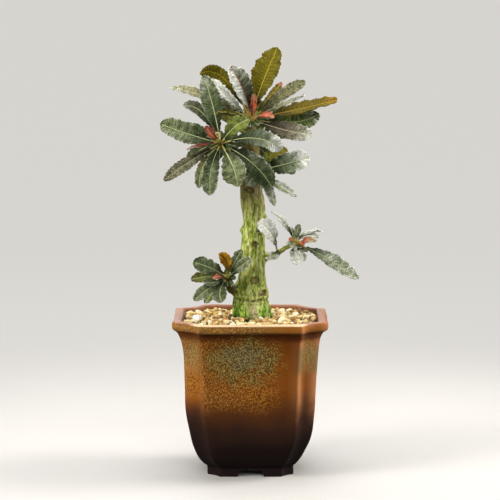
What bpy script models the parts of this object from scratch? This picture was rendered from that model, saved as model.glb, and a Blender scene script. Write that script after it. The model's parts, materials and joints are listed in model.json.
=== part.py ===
"""A small caudex tree with crenate leaves, growing in a glazed pot with indented corners.

Lengths in the tables are millimetres from the pot's axis and from the ground under its feet:
x to the right, y away from the front, z up. MM turns them into metres.
"""
import math
import random

import bmesh
import bpy
from mathutils import Matrix, Vector

MM = 0.001
GAP = 0.3                      # clearance that touching pieces keep

# Pot: (height, half-width of a side) down the outside, and the ridge that ends each side's flat face
POT_HEIGHT = 101.9
LIP_HALF = 50.0
POT_OUTSIDE = [(0.0, 28.0), (5.6, 28.2), (6.9, 29.6), (10.5, 32.4), (14.2, 34.5), (22.8, 38.1),
               (31.4, 40.1), (42.0, 41.4), (56.0, 42.2), (70.0, 42.8), (82.0, 43.8), (89.5, 44.8),
               (93.0, 45.8), (95.2, 47.2), (96.6, 49.3), (98.2, LIP_HALF), (101.3, LIP_HALF),
               (POT_HEIGHT, 49.4)]
BODY_RIDGE = 0.715             # ridge over half-width on the body
LIP_RIDGE = 0.662              # the same on the lip, whose corners are cut deeper
CORNER_HOLLOW = 0.105          # depth of the corner's hollow over its chord
CORNER_STEPS = 6
LIP_COVE = (93.0, 97.0)        # heights between which the body's corner turns into the lip's
POT_INSIDE = [(10.0, 26.0), (14.2, 30.5), (22.8, 34.1), (31.4, 36.1), (42.0, 37.4), (56.0, 38.2),
              (70.0, 38.8), (82.0, 39.8), (92.0, 41.4), (97.0, 43.4), (POT_HEIGHT, 44.0)]
FOOT_RING_WALL = 5.5
FOOT_HEIGHT = 5.0
FOOT_NOTCH_WIDTH = 17.0
FOOT_NOTCH_TOP = 12.5
DRAIN_RADIUS = 6.0

# Soil
SOIL_EDGE = 99.8               # height of the gravel along the pot's wall
SOIL_HEAP = 1.0                # how much higher it stands at the trunk
GRAVEL_RELIEF = 0.7
SOIL_EDGE_HALF = 43.6
SOIL_SIDE_STEPS = 6            # points along a side of the soil's outline
SOIL_RINGS = 10                # rings of gravel between the wall and the trunk
ROOT_DEPTH = 25.0

# Trunk: (height, centre x, centre y, radius)
ROOT_RADIUS = 12.6
TRUNK_BASE = (0.9, 2.0)
TRUNK_RINGS = [(103.0, 0.8, 2.0, 12.6), (108.7, 0.2, 2.0, 12.2), (113.5, 0.0, 2.0, 11.7),
               (118.0, -0.1, 2.0, 10.7), (123.0, 0.4, 2.0, 9.5), (127.9, 0.9, 2.0, 8.7),
               (136.0, 1.5, 2.0, 8.0), (144.4, 1.9, 2.0, 7.7), (151.0, 2.0, 2.0, 7.6),
               (157.5, 2.3, 2.0, 7.3), (166.0, 2.2, 2.0, 7.2), (174.6, 1.5, 2.0, 7.7),
               (181.0, 0.8, 2.0, 7.4), (186.0, 0.4, 2.0, 7.1), (194.0, 0.2, 2.0, 6.6),
               (200.0, 0.2, 2.0, 4.6)]
TRUNK_SIDES = 16
STEM_BEVEL = 2                 # roundness of a stem's cross-section
# Knobs and scars on the bark: (height, degrees round from +x, reach up, reach round, how far out)
TRUNK_KNOBS = [(157.5, 180, 2.5, 22, 2.2), (119.5, 190, 3.5, 22, 1.8), (116.0, 340, 4.0, 22, 1.6),
               (188.0, 235, 4.0, 30, 0.9), (145.0, 185, 3.0, 25, 0.7), (139.5, 0, 3.5, 28, 1.2),
               (149.0, 275, 3.0, 22, -0.7), (125.5, 285, 3.0, 22, -0.7), (158.0, 300, 2.5, 20, 0.6),
               (166.5, 345, 2.0, 18, 1.6), (112.5, 262, 1.2, 200, -0.35)]
# Branch stubs that carry the shoots: path and the radius at each point
TRUNK_STUBS = {
    "left": ([(-1, 0, 190), (-8, -6, 201), (-14, -11, 208.5)], (5.0, 4.4, 3.6)),
    "upper": ([(0, 2, 194), (0, 1, 210), (0, 0.5, 222)], (5.2, 4.4, 3.4)),
    "right": ([(1, -1, 190), (3.2, -7.8, 194)], (4.0, 3.0)),
    "back": ([(0.5, 3, 192), (1.5, 8, 201), (2.5, 11.5, 206)], (4.8, 4.2, 3.6)),
    "side_left": ([(-6, 0, 116), (-12.6, -3.6, 119.0)], (3.4, 2.6)),
    "side_right": ([(4, 2, 139.8), (11.4, 1.2, 140.2)], (3.2, 2.4)),
}

# Shoots. base and heart are the ends of the shoot's own stem, gaze is where its rosette faces.
# Each leaf is (tip, middle of the rib, width, roll), its points from the heart. A leaf that leaves the
# stem before the heart has its root as a fifth entry.
SHOOTS = {
    "left_shoot": {
        "stub": "left", "heart": (-19, -16, 215), "radius": (3.3, 2.4), "gaze": (-0.3, -0.8, 0.5),
        "bud": (-1.2, -4.6, 1.6),
        "leaves": [
            ((-11, 15, 43), (-5, 8, 23), 13.5, 0),
            ((-24.5, 13, 24), (-12, 14, 19), 8.5, 15),
            ((17.5, 0, 15.5), (8, -3, 10), 12.0, 10),
            ((-38.5, -6, 13), (-21, -5, 6.5), 15.5, 0),
            ((-36, -14, -22.5), (-20, -9, -11), 8.5, -30),
            ((-14, 1, -28.5), (-11, 3, -14), 8.0, 10),
            ((-7, -12, -32), (-6, -9, -15), 11.5, -25),
            ((11, -17, -26), (8, -14, -14), 16.5, 0),
            ((39, -9, -3), (22, -11, 4), 13.0, -10),
            ((32.5, -10, -27), (20, -6, -12), 15.0, -15),
            ((-30, 22, 6), (-15, 13, 6), 12.0, 0),
            ((-22, 20, -14), (-12, 12, -4), 11.0, 0),
        ],
        "young": [
            ((-8.5, -7, 10), (-4.5, -6, 5), 5.5, 20),
            ((-20, -10, -4.5), (-10, -7, -2), 6.5, 35),
        ],
    },
    "upper_shoot": {
        "stub": "upper", "heart": (0, 0, 230), "radius": (3.2, 2.4), "gaze": (0.0, -0.35, 0.95),
        "bud": (1.0, -4.8, -0.6),
        "leaves": [
            ((-33, 4, 29.5), (-17, 9, 26), 10.5, -50),
            ((-25, 2.5, 26), (-15, -1, 14.5), 8.5, -20),
            ((-13, -9, 34.5), (-4.5, -7, 18), 15.5, -30),
            ((-52, 12, 20), (-29, 10, 13.5), 11.0, 3),
            ((-21.5, -22, 4.5), (-12, -12, 3), 10.0, 10),
            ((17.5, -2, 46), (8.5, -3, 25), 19.5, 10),
            ((35.5, 8, 24), (20.5, 3, 15.5), 9.0, 35),
            ((20.5, 20, 23), (13, 12, 14.5), 5.0, 20),
            ((35.5, 14, 15), (22, 8, 9), 9.0, -15),
            ((56, 0, 12.5), (33, -4, 7), 12.0, 25),
            ((45, 14, 3), (27, 10, -2.5), 13.0, 50),
            ((39.5, -10, -9), (24, -9, -7), 12.5, 50),
            ((-7.5, 28, 27.5), (-3, 16, 14), 12.0, 0),
            ((-30, 28, 9), (-15, 17, 8), 12.0, 0),
        ],
        "young": [
            ((1, -6, 14), (1, -5, 7), 4.5, 0),
            ((14, -12, 2), (8, -8, 4), 5.0, 30),
            ((1.5, -1.5, 17), (1, -1, 10), 4.5, 0),
        ],
    },
    "right_shoot": {
        "stub": "right", "heart": (4, -12, 197.5), "radius": (2.7, 2.2), "gaze": (0.3, -0.8, 0.4),
        "leaves": [
            ((33.5, -7, 9), (18.5, -6, 4.5), 15.5, 0),
            ((25, -13, -16), (13.5, -8, -9), 9.5, -25),
            ((11.5, -7, -22), (7.5, -4, -11), 6.5, 35),
            ((-6, -8, -9), (-3, -5, -5), 9.0, 0),
            ((20, 13, 12), (9, 9, 9), 9.0, 0),
        ],
        "young": [],
    },
    "back_shoot": {
        "stub": "back", "heart": (4, 18, 212), "radius": (3.3, 2.4), "gaze": (0.1, 0.8, 0.5),
        "leaves": [
            ((-4, 10, 36), (-2, 8, 19), 14.0, 0),
            ((14, 18, 30), (8, 11, 17), 13.0, 0),
            ((32, 18, 9), (17, 13, 8), 13.5, 0),
            ((25, 17, -20), (14, 13, -7), 12.5, 0),
            ((4, 22, -30), (3, 15, -13), 13.5, 0),
            ((-18, 20, -22), (-10, 14, -9), 12.5, 0),
            ((-29, 18, -2), (-15, 13, 2), 13.5, 0),
            ((-26, 14, 24), (-13, 10, 14), 12.5, 0),
            ((6, 34, 12), (3, 19, 9), 12.0, 0),
        ],
        "young": [],
    },
    "side_shoot_left": {
        "stub": "side_left", "heart": (-15, -12, 128), "radius": (2.0, 1.6), "gaze": (-0.3, -0.8, 0.5),
        "bud": (-0.8, -3.4, 1.0),
        "leaves": [
            ((-22, -5, 10.5), (-10.5, -4, 6.5), 11.5, 0),
            ((9.5, -2, 18), (5, -3, 10.5), 7.0, 10),
            ((15.5, -13, 14), (8.5, -9, 8), 7.5, 20),
            ((-23.5, 0, -1.5), (-13, 0, 0.5), 7.5, 0),
            ((-21.5, -10, -13.5), (-12, -6, -6.5), 8.5, -25),
            ((-14.5, 2, -17), (-9.5, 2, -10.5), 6.0, 0),
            ((-3.5, -12, -14.5), (-4.5, -8, -7.5), 10.0, 0),
            ((-15.5, -9.5, -2), (-8.5, -5.5, -2.6), 7.0, 10),
        ],
        "young": [
            ((-4.5, -6, 15), (0.5, -3, 10), 8.0, 0),
            ((-8.5, -3, -0.5), (-4, -4, 0.5), 4.5, 10),
        ],
    },
    "side_branch_right": {
        "stub": "side_right", "heart": (29, -6, 150), "radius": (1.8, 1.3), "gaze": (0.2, -0.5, 0.8),
        "bud": (1.0, -3.9, 0.6),
        "leaves": [
            ((-24.0, -6.5, 14.0), (-16, -6.5, 7.5), 12.0, -40, (-11.5, 4.8, -6.5)),
            ((-15.5, -2, 20), (-7, 0, 12.5), 5.5, 0),
            ((2.5, 6, 11.5), (1.5, 4, 6.5), 5.0, 0),
            ((19, 0, 7), (8.5, -2, 7), 7.0, -25),
            ((0.5, -10, -13), (-0.5, -6, -7), 8.5, 0),
            ((6, 2, -12), (4, 2, -7), 6.0, 0),
            ((40.5, -10, -22.5), (22.5, -7, -10.3), 11.0, 20),
            ((14.5, -5, 3.5), (7.5, -2.5, 5.2), 7.5, -10),
            ((-18.5, -4, -9.5), (-14, -4, -8), 8.5, 0, (-9, 3.7, -5)),
            ((-2.5, 3, 9.5), (-1.5, 2, 5.5), 4.5, 0),
            ((8, -4, -5.5), (4.5, -2, -4), 4.5, 0),
        ],
        "young": [
            ((12.5, -6, 2), (6, -4.8, 2), 5.5, 15),
            ((-5, -6, 2), (-2.5, -4, 1.7), 5.0, 0),
            ((4.5, -7, -0.9), (2, -5, 0.7), 4.8, 5),
        ],
    },
}
LEAF_THICKNESS = 0.7
LEAF_FOLD = 14.0               # degrees that each half rises from the rib
LEAF_WAVE = 0.45               # how far the edge waves up and down on a leaf 12 mm wide
NOTCH_SHARE = 0.86             # half-width at a notch between two teeth over that at a tooth
PETIOLE_WIDTH = 1.5
PETIOLE_SHARE = 0.14
PETIOLE_LIFT = 0.12            # height of the petiole's edges over its rib
GAZE_DISTANCE = 60.0           # a rosette's leaves all face a point this far along its gaze
HEART_SWELL = 1.12             # radius of the knob at a shoot's heart over the stem's radius there
ROOT_SINK = 1.2                # distance of a leaf's root from the heart, inside the stem
BUD_SPAN = (1.6, 1.8)          # length of a bud behind and in front of its own heart
BUD_RADII = (1.5, 0.9)

COLOURS = {
    "pot": (0.33, 0.15, 0.04, 1.0), "soil": (0.72, 0.56, 0.30, 1.0), "trunk": (0.30, 0.40, 0.10, 1.0),
    "leaf": (0.14, 0.20, 0.08, 1.0), "young": (0.45, 0.12, 0.06, 1.0),
}


def clear_scene():
    for obj in list(bpy.data.objects):
        bpy.data.objects.remove(obj, do_unlink=True)


def new_collection(name):
    collection = bpy.data.collections.new(name)
    bpy.context.scene.collection.children.link(collection)
    return collection


def material(name, colour, roughness):
    mat = bpy.data.materials.new(name)
    mat.use_nodes = True
    shader = mat.node_tree.nodes["Principled BSDF"]
    shader.inputs["Base Color"].default_value = colour
    shader.inputs["Roughness"].default_value = roughness
    mat.diffuse_color = colour
    return mat


def object_from_bmesh(name, bm, collection):
    bmesh.ops.recalc_face_normals(bm, faces=bm.faces)
    mesh = bpy.data.meshes.new(name)
    bm.to_mesh(mesh)
    bm.free()
    obj = bpy.data.objects.new(name, mesh)
    collection.objects.link(obj)
    return obj


def as_mesh_object(obj, collection):
    """Replace an object by its evaluated mesh, with the caps of a curve welded on."""
    bpy.context.view_layer.update()
    evaluated = obj.evaluated_get(bpy.context.evaluated_depsgraph_get())
    mesh = bpy.data.meshes.new_from_object(evaluated)
    bm = bmesh.new()
    bm.from_mesh(mesh)
    bmesh.ops.remove_doubles(bm, verts=bm.verts, dist=0.00001)
    bm.to_mesh(mesh)
    bm.free()
    name = obj.name
    matrix = obj.matrix_world.copy()
    bpy.data.objects.remove(obj, do_unlink=True)
    result = bpy.data.objects.new(name, mesh)
    result.matrix_world = matrix
    collection.objects.link(result)
    return result


def loft(rings):
    """Skin over rings of points that all have the same count, from the first ring to the last."""
    bm = bmesh.new()
    rows = [[bm.verts.new(Vector(point) * MM) for point in ring] for ring in rings]
    count = len(rows[0])
    for lower, upper in zip(rows, rows[1:]):
        for i in range(count):
            j = (i + 1) % count
            bm.faces.new((lower[i], lower[j], upper[j], upper[i]))
    bm.faces.new(rows[0])
    bm.faces.new(rows[-1])
    return bm


def stem(name, points, radii, collection):
    """A tapering round stem along a few points, as a mesh with closed ends."""
    curve = bpy.data.curves.new(name, "CURVE")
    curve.dimensions = "3D"
    curve.bevel_depth = MM
    curve.bevel_resolution = STEM_BEVEL
    curve.use_fill_caps = True
    spline = curve.splines.new("POLY")
    spline.points.add(len(points) - 1)
    for spot, point, radius in zip(spline.points, points, radii):
        spot.co = (*(Vector(point) * MM), 1.0)
        spot.radius = radius
    obj = bpy.data.objects.new(name, curve)
    collection.objects.link(obj)
    return as_mesh_object(obj, collection)


def apply_boolean(obj, operand, operation, collection):
    """Cut or join, then keep the result as the object's own mesh. The operands are removed."""
    modifier = obj.modifiers.new(operation, "BOOLEAN")
    modifier.operation = operation
    modifier.solver = "EXACT"
    modifier.operand_type = "COLLECTION"
    modifier.collection = operand
    result = as_mesh_object(obj, collection)
    for used in list(operand.objects):
        bpy.data.objects.remove(used, do_unlink=True)
    bpy.data.collections.remove(operand)
    return result


def pot_outline(half, ridge, height, inset=0.0, side_steps=2):
    """Plan of the pot at one height: four flat sides and four corners hollowed inwards."""
    half = half - inset
    ridge = ridge - inset * (math.sqrt(2.0) - 1.0)
    start, end = Vector((half, -ridge)), Vector((half, ridge))
    following = Vector((ridge, half))
    chord = following - end
    inward = Vector((-1.0, -1.0)).normalized()
    quarter = [start.lerp(end, step / side_steps) for step in range(1, side_steps)]
    for step in range(CORNER_STEPS + 1):
        t = step / CORNER_STEPS
        dip = CORNER_HOLLOW * chord.length * (1.0 - (2.0 * t - 1.0) ** 2)
        quarter.append(end + chord * t + inward * dip)
    ring = []
    for turn in range(4):
        spin = Matrix.Rotation(turn * math.pi / 2.0, 2)
        ring += [(*(spin @ point), height) for point in quarter]
    return ring


def outside_ridge(height, half):
    """The lip's corners are cut deeper than the body's; the change runs through the cove."""
    share = min(1.0, max(0.0, (height - LIP_COVE[0]) / (LIP_COVE[1] - LIP_COVE[0])))
    return half * (BODY_RIDGE + (LIP_RIDGE - BODY_RIDGE) * share)


def inside_ridge(height, half):
    """The inner corner runs parallel to the outer one, a wall's thickness in."""
    heights = [row[0] for row in POT_OUTSIDE]
    above = next(i for i, level in enumerate(heights) if level >= height - 0.001)
    below = max(0, above - 1)
    span = max(0.001, heights[above] - heights[below])
    t = (height - heights[below]) / span
    outer = POT_OUTSIDE[below][1] * (1.0 - t) + POT_OUTSIDE[above][1] * t
    wall = outer - half
    return outside_ridge(height, outer) - wall * (math.sqrt(2.0) - 1.0)


def notch_prism(width, top_width, height, length, collection):
    """The arched gap between two feet, as a prism along y that starts below the ground."""
    half, top = width / 2.0, top_width / 2.0
    side = [(half, -1.0), (half, 0.0), (half - 0.6, height * 0.5), (top, height * 0.86),
            (top - 1.4, height)]
    profile = side + [(-x, z) for x, z in reversed(side)]
    rings = [[(x, y, z) for x, z in profile] for y in (-length, length)]
    return object_from_bmesh("notch", loft(rings), collection)


def make_pot(collection, cutters):
    outer = loft([pot_outline(half, outside_ridge(z, half), z) for z, half in POT_OUTSIDE])
    pot = object_from_bmesh("pot", outer, collection)

    hollow = [pot_outline(half, inside_ridge(z, half), z) for z, half in POT_INSIDE]
    top_height, top_half = POT_INSIDE[-1]
    hollow.append(pot_outline(top_half, inside_ridge(top_height, top_half), POT_HEIGHT + 5.0))
    object_from_bmesh("hollow", loft(hollow), cutters)

    foot_half = POT_OUTSIDE[0][1]
    foot_ridge = outside_ridge(0.0, foot_half)
    recess = [pot_outline(foot_half, foot_ridge, z, FOOT_RING_WALL) for z in (-1.0, FOOT_HEIGHT)]
    object_from_bmesh("recess", loft(recess), cutters)
    for turn in (0.0, math.pi / 2.0):
        notch = notch_prism(FOOT_NOTCH_WIDTH, FOOT_NOTCH_TOP, FOOT_HEIGHT, LIP_HALF, cutters)
        notch.rotation_euler.z = turn
    bpy.ops.mesh.primitive_cylinder_add(vertices=20, radius=DRAIN_RADIUS * MM, depth=20 * MM,
                                        location=(0, 0, 8 * MM))
    drain = bpy.context.object
    for linked in list(drain.users_collection):
        linked.objects.unlink(drain)
    cutters.objects.link(drain)
    return apply_boolean(pot, cutters, "DIFFERENCE", collection)


def make_soil(collection):
    """The fill follows the pot's inside; its top is gravel relief with a plain hole for the trunk."""
    rng = random.Random(11)
    rings = []
    for z, half in POT_INSIDE:
        level = max(z, POT_INSIDE[0][0] + GAP)
        if level > SOIL_EDGE - 1.5:
            break
        rings.append(pot_outline(half, inside_ridge(z, half), level, GAP, SOIL_SIDE_STEPS))
    edge = pot_outline(SOIL_EDGE_HALF, inside_ridge(SOIL_EDGE, SOIL_EDGE_HALF), SOIL_EDGE, GAP,
                       SOIL_SIDE_STEPS)
    rings.append(edge)
    widest_step = math.radians(14.0)       # no two points of the hole's ring are further apart
    hole_radius = (ROOT_RADIUS + GAP) / math.cos(widest_step / 2.0)
    centre = Vector(TRUNK_BASE)
    for step in range(1, SOIL_RINGS + 1):
        t = step / SOIL_RINGS
        ring = []
        for x, y, _ in edge:
            out = (Vector((x, y)) - centre).normalized()
            spot = Vector((x, y)).lerp(centre + out * hole_radius, t)
            rough = rng.uniform(-GRAVEL_RELIEF, GRAVEL_RELIEF) if step < SOIL_RINGS else 0.0
            ring.append((spot.x, spot.y, SOIL_EDGE + SOIL_HEAP * t * t + rough))
        rings.append(ring)
    rings.append([(x, y, SOIL_EDGE - ROOT_DEPTH - GAP) for x, y, _ in rings[-1]])
    return object_from_bmesh("soil", loft(rings), collection)


def knob_height(z, angle):
    """How far the knobs and scars push the bark out at a height and an angle in degrees."""
    push = 0.0
    for level, around, reach_up, reach_round, amount in TRUNK_KNOBS:
        turn = (angle - around + 180.0) % 360.0 - 180.0
        push += amount * math.exp(-((z - level) / reach_up) ** 2 - (turn / reach_round) ** 2)
    return push


def trunk_ring(z, x, y, radius, relief):
    ring = []
    for i in range(TRUNK_SIDES):
        angle = 2.0 * math.pi * i / TRUNK_SIDES
        degrees = math.degrees(angle)
        flutes = 0.025 * math.sin(3.0 * angle + z * 0.05) + 0.015 * math.sin(5.0 * angle - z * 0.08)
        r = radius * (1.0 + relief * flutes) + relief * knob_height(z, degrees)
        ring.append((x + r * math.cos(angle), y + r * math.sin(angle), z))
    return ring


def make_trunk(collection):
    foot = SOIL_EDGE - ROOT_DEPTH
    rings = [trunk_ring(foot, *TRUNK_BASE, ROOT_RADIUS * 0.8, 0.0),
             trunk_ring(foot + 3.0, *TRUNK_BASE, ROOT_RADIUS, 0.0),
             trunk_ring(SOIL_EDGE + SOIL_HEAP + GAP, *TRUNK_BASE, ROOT_RADIUS, 0.0)]
    rings += [trunk_ring(z, x, y, radius, 1.0) for z, x, y, radius in TRUNK_RINGS]
    trunk = object_from_bmesh("trunk", loft(rings), collection)
    stubs = new_collection("stubs")
    for name, (points, radii) in TRUNK_STUBS.items():
        stem("stub_" + name, points, radii, stubs)
    return apply_boolean(trunk, stubs, "UNION", collection)


def blade_shape(q):
    """Half-width of a blade over its widest half-width, q from the blade's base to its tip."""
    widest = 0.58
    if q < widest:
        return 0.16 + 0.84 * math.sin(0.5 * math.pi * q / widest) ** 0.85
    return math.sqrt(max(0.0, 1.0 - ((q - widest) / (1.0 - widest)) ** 2.4))


def leaf(name, heart, spec, gaze, collection):
    """A blade: a sheet folded along its curved rib, with a toothed and waved edge, thickened."""
    tip, middle, width, roll = spec[:4]
    tip, middle = Vector(tip), Vector(middle)
    root = Vector(spec[4]) if len(spec) > 4 else middle.normalized() * ROOT_SINK
    control = middle * 2.0 - (root + tip) * 0.5
    length = (middle - root).length + (tip - middle).length
    teeth = 6 if length > 30 else 4 if length > 18 else 3
    wave = LEAF_WAVE * width / 12.0
    focus = Vector(gaze).normalized() * GAZE_DISTANCE
    stations = [0.0, PETIOLE_SHARE]
    stations += [PETIOLE_SHARE + (1.0 - PETIOLE_SHARE) * j / (2.0 * teeth) for j in range(1, 2 * teeth)]
    bm = bmesh.new()
    rows = []
    for j, s in enumerate(stations):
        spot = root * (1 - s) ** 2 + control * 2 * s * (1 - s) + tip * s ** 2
        along = ((control - root) * (1 - s) + (tip - control) * s).normalized()
        face = focus - spot
        face = (face - along * face.dot(along)).normalized()
        face = Matrix.Rotation(math.radians(roll), 3, along) @ face
        side = along.cross(face)
        if s <= PETIOLE_SHARE:
            half, lift = PETIOLE_WIDTH / 2.0, PETIOLE_LIFT
        else:
            q = (s - PETIOLE_SHARE) / (1.0 - PETIOLE_SHARE)
            bulge = j % 2 == 0
            half = width / 2.0 * blade_shape(q) * (1.0 if bulge else NOTCH_SHARE)
            lift = half * math.tan(math.radians(LEAF_FOLD)) + (wave if bulge else -wave)
        rib = heart + spot
        row = [rib - side * half + face * lift, rib, rib + side * half + face * lift]
        rows.append([bm.verts.new(point * MM) for point in row])
    end = bm.verts.new((heart + tip) * MM)
    for near, far in zip(rows, rows[1:]):
        bm.faces.new((near[0], near[1], far[1]))
        bm.faces.new((near[0], far[1], far[0]))
        bm.faces.new((near[1], near[2], far[2]))
        bm.faces.new((near[1], far[2], far[1]))
    bm.faces.new((rows[-1][0], rows[-1][1], end))
    bm.faces.new((rows[-1][1], rows[-1][2], end))
    obj = object_from_bmesh(name, bm, collection)
    shell = obj.modifiers.new("thickness", "SOLIDIFY")
    shell.thickness = LEAF_THICKNESS * MM
    shell.offset = 0.0
    return obj


def knob(name, centre, radius, collection):
    """The swollen heart of a rosette, which the leaves' roots are sunk into."""
    bm = bmesh.new()
    bmesh.ops.create_icosphere(bm, subdivisions=2, radius=radius * MM,
                               matrix=Matrix.Translation(centre * MM))
    return object_from_bmesh(name, bm, collection)


def make_shoot(name, plan, collection):
    """A rosette: its own short stem, which stands on the trunk's stub, and the leaves sunk into it."""
    heart = Vector(plan["heart"])
    path = TRUNK_STUBS[plan["stub"]][0]
    stub_end = Vector(path[-1])
    rise = (stub_end - Vector(path[-2])).normalized()
    foot = stub_end + rise * GAP
    base_radius, top_radius = plan["radius"]
    blades = new_collection(name + "_blades")
    for number, spec in enumerate(plan["leaves"]):
        leaf(f"{name}_leaf_{number}", heart, spec, plan["gaze"], blades)
    knob(name + "_knob", heart, top_radius * HEART_SWELL, blades)
    body = stem(name, [foot, foot + rise, heart], (base_radius, base_radius, top_radius), collection)
    return apply_boolean(body, blades, "UNION", collection)


def make_young_leaves(name, plan, collection):
    """The red young leaves, on the bud that sits in front of the rosette's heart."""
    out = Vector(plan["bud"]).normalized()
    heart = Vector(plan["heart"]) + Vector(plan["bud"])
    blades = new_collection(name + "_blades")
    for number, spec in enumerate(plan["young"]):
        leaf(f"{name}_leaf_{number}", heart, spec, plan["gaze"], blades)
    body = stem(name, [heart - out * BUD_SPAN[0], heart + out * BUD_SPAN[1]], BUD_RADII, collection)
    return apply_boolean(body, blades, "UNION", collection)


def main():
    clear_scene()
    plant = new_collection("potted_boswellia")
    cutters = new_collection("cutters")
    leaf_skin = material("leaf", COLOURS["leaf"], 0.6)
    young_skin = material("young_leaf", COLOURS["young"], 0.55)
    pot = make_pot(plant, cutters)
    soil = make_soil(plant)
    trunk = make_trunk(plant)
    pot.data.materials.append(material("pot_glaze", COLOURS["pot"], 0.45))
    soil.data.materials.append(material("gravel", COLOURS["soil"], 0.9))
    trunk.data.materials.append(material("green_bark", COLOURS["trunk"], 0.65))
    nodes = [pot, soil, trunk]
    for name, plan in SHOOTS.items():
        shoot = make_shoot(name, plan, plant)
        shoot.data.materials.clear()
        shoot.data.materials.append(leaf_skin)
        nodes.append(shoot)
        if plan["young"]:
            young = make_young_leaves(name + "_young", plan, plant)
            young.data.materials.clear()
            young.data.materials.append(young_skin)
            nodes.append(young)

    corners = [obj.matrix_world @ Vector(corner) for obj in nodes for corner in obj.bound_box]
    middle_x = (min(c.x for c in corners) + max(c.x for c in corners)) / 2.0
    middle_y = (min(c.y for c in corners) + max(c.y for c in corners)) / 2.0
    anchor = bpy.data.objects.new("pot_axis", None)
    anchor.location = (-middle_x, -middle_y, 0.0)
    plant.objects.link(anchor)
    for obj in nodes:
        obj.parent = anchor
        obj.data.set_sharp_from_angle(angle=math.radians(35.0))


main()
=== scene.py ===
"""The looks of a small caudex tree in a glazed pot: leaves, bark, gravel and glaze.

Lengths in the tables are millimetres from the pot's axis and from the ground under its feet: x to the
right, y away from the front, z up. Angles are degrees, and colours are sRGB from 0 to 255.
"""

import json
import math
import random
from collections import namedtuple

import bmesh
import bpy
import numpy as np
from mathutils import Matrix, Vector, noise

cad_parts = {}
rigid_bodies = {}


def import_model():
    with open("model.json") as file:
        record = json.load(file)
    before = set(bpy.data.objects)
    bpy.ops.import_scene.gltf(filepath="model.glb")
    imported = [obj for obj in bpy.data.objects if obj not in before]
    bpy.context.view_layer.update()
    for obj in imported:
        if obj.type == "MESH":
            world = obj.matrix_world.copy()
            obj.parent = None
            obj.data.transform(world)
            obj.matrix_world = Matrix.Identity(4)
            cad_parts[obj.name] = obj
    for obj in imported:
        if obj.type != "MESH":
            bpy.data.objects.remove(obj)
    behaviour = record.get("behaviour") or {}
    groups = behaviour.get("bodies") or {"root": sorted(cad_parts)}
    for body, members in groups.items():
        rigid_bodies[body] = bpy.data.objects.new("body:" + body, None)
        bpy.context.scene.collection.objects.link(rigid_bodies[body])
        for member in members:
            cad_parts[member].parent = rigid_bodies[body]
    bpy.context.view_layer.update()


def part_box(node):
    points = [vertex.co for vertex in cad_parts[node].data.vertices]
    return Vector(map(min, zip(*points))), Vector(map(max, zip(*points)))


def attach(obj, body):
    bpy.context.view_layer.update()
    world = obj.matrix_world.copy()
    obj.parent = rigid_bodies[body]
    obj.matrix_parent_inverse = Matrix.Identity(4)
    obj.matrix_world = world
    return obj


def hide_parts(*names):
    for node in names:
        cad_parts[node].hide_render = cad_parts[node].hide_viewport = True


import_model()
MM = 0.001
BODY = "root"
pot_low, pot_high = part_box("pot")
POT_AXIS = Vector(((pot_low.x + pot_high.x) / 2.0, (pot_low.y + pot_high.y) / 2.0, 0.0))

# Camera, placed from the pot's axis
CAMERA_PLACE = (-0.3, -1274.5, 282.9)
CAMERA_PITCH = 6.19
CAMERA_LENS = 141.2
CAMERA_SENSOR = 36.0
CAMERA_SIGHT = 20.0            # how far it sees, in metres

# Floor and backdrop
FLOOR_RADII = (1.0, 300.0, 800.0, 1600.0)
STAGE_BEND = 800.0
STAGE_RISE = 2600.0
STAGE_STEPS = 16
STAGE_SIDES = 96
STAGE_LIT = (180.0, 620.0)     # the floor fades here from lit paper to an even glow
STAGE_GLOW = 0.8
GLOW_TONE = (236, 233, 228)
WORLD_TONE, WORLD_GLOW = (226, 230, 236), 0.2
WARM_WHITE, WHITE = (255, 250, 242), (255, 255, 255)
# Lights: (name, place, what it aims at, size in metres, power in watts, colour)
LIGHTS = [("left_box", (-840, -495, 570), (0, 0, 160), (0.45, 0.9), 13.2, WARM_WHITE),
          ("right_box", (900, 90, 525), (0, 0, 150), (0.38, 0.9), 12.6, WARM_WHITE),
          ("front_fill", (60, -950, 620), (0, 0, 120), (0.6, 0.5), 4.4, WHITE),
          ("top_box", (0, 80, 900), (0, 0, 150), (0.5, 0.5), 4.8, WHITE),
          ("back_fill", (-160, 950, 560), (0, 0, 130), (0.6, 0.5), 3.4, WHITE)]

# Pot: (height, half-width of a side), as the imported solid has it, and its corners
POT_HEIGHT = 101.9
POT_OUTSIDE = [(0.0, 28.0), (5.6, 28.2), (6.9, 29.6), (10.5, 32.4), (14.2, 34.5), (22.8, 38.1),
               (31.4, 40.1), (42.0, 41.4), (56.0, 42.2), (70.0, 42.8), (82.0, 43.8), (89.5, 44.8),
               (93.0, 45.8), (95.2, 47.2), (96.6, 49.3), (98.2, 50.0), (101.3, 50.0), (POT_HEIGHT, 49.2)]
POT_INSIDE = [(10.0, 26.0), (14.2, 30.5), (22.8, 34.1), (31.4, 36.1), (42.0, 37.4), (56.0, 38.2),
              (70.0, 38.8), (82.0, 39.8), (92.0, 41.4), (97.0, 43.4), (100.6, 44.0), (101.5, 44.4),
              (POT_HEIGHT, 45.2), (102.4, 47.0), (107.0, 47.0)]
OUTSIDE_STEPS, INSIDE_STEPS = 5, 4    # rings of the mesh to a row of these tables
BODY_RIDGE = 0.715
LIP_RIDGE = 0.662
LIP_COVE = (93.0, 97.0)
CORNER_HOLLOW = 0.105
CORNER_STEPS = 12
CORNER_CUT = math.sqrt(2.0) - 1.0     # how far a ridge moves in when both its faces move in by 1
SIDE_STEPS = 8
RIDGE_ROUNDING = 1.5           # how far from a ridge its rounding starts
RIDGE_STEPS = 4
FOOT_RING_WALL = 5.5
FOOT_HEIGHT = 5.0
FOOT_NOTCH_WIDTH = 17.0
FOOT_NOTCH_TOP = 12.5
DRAIN_RADIUS = 6.0
DRAIN_SIDES = 32
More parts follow.
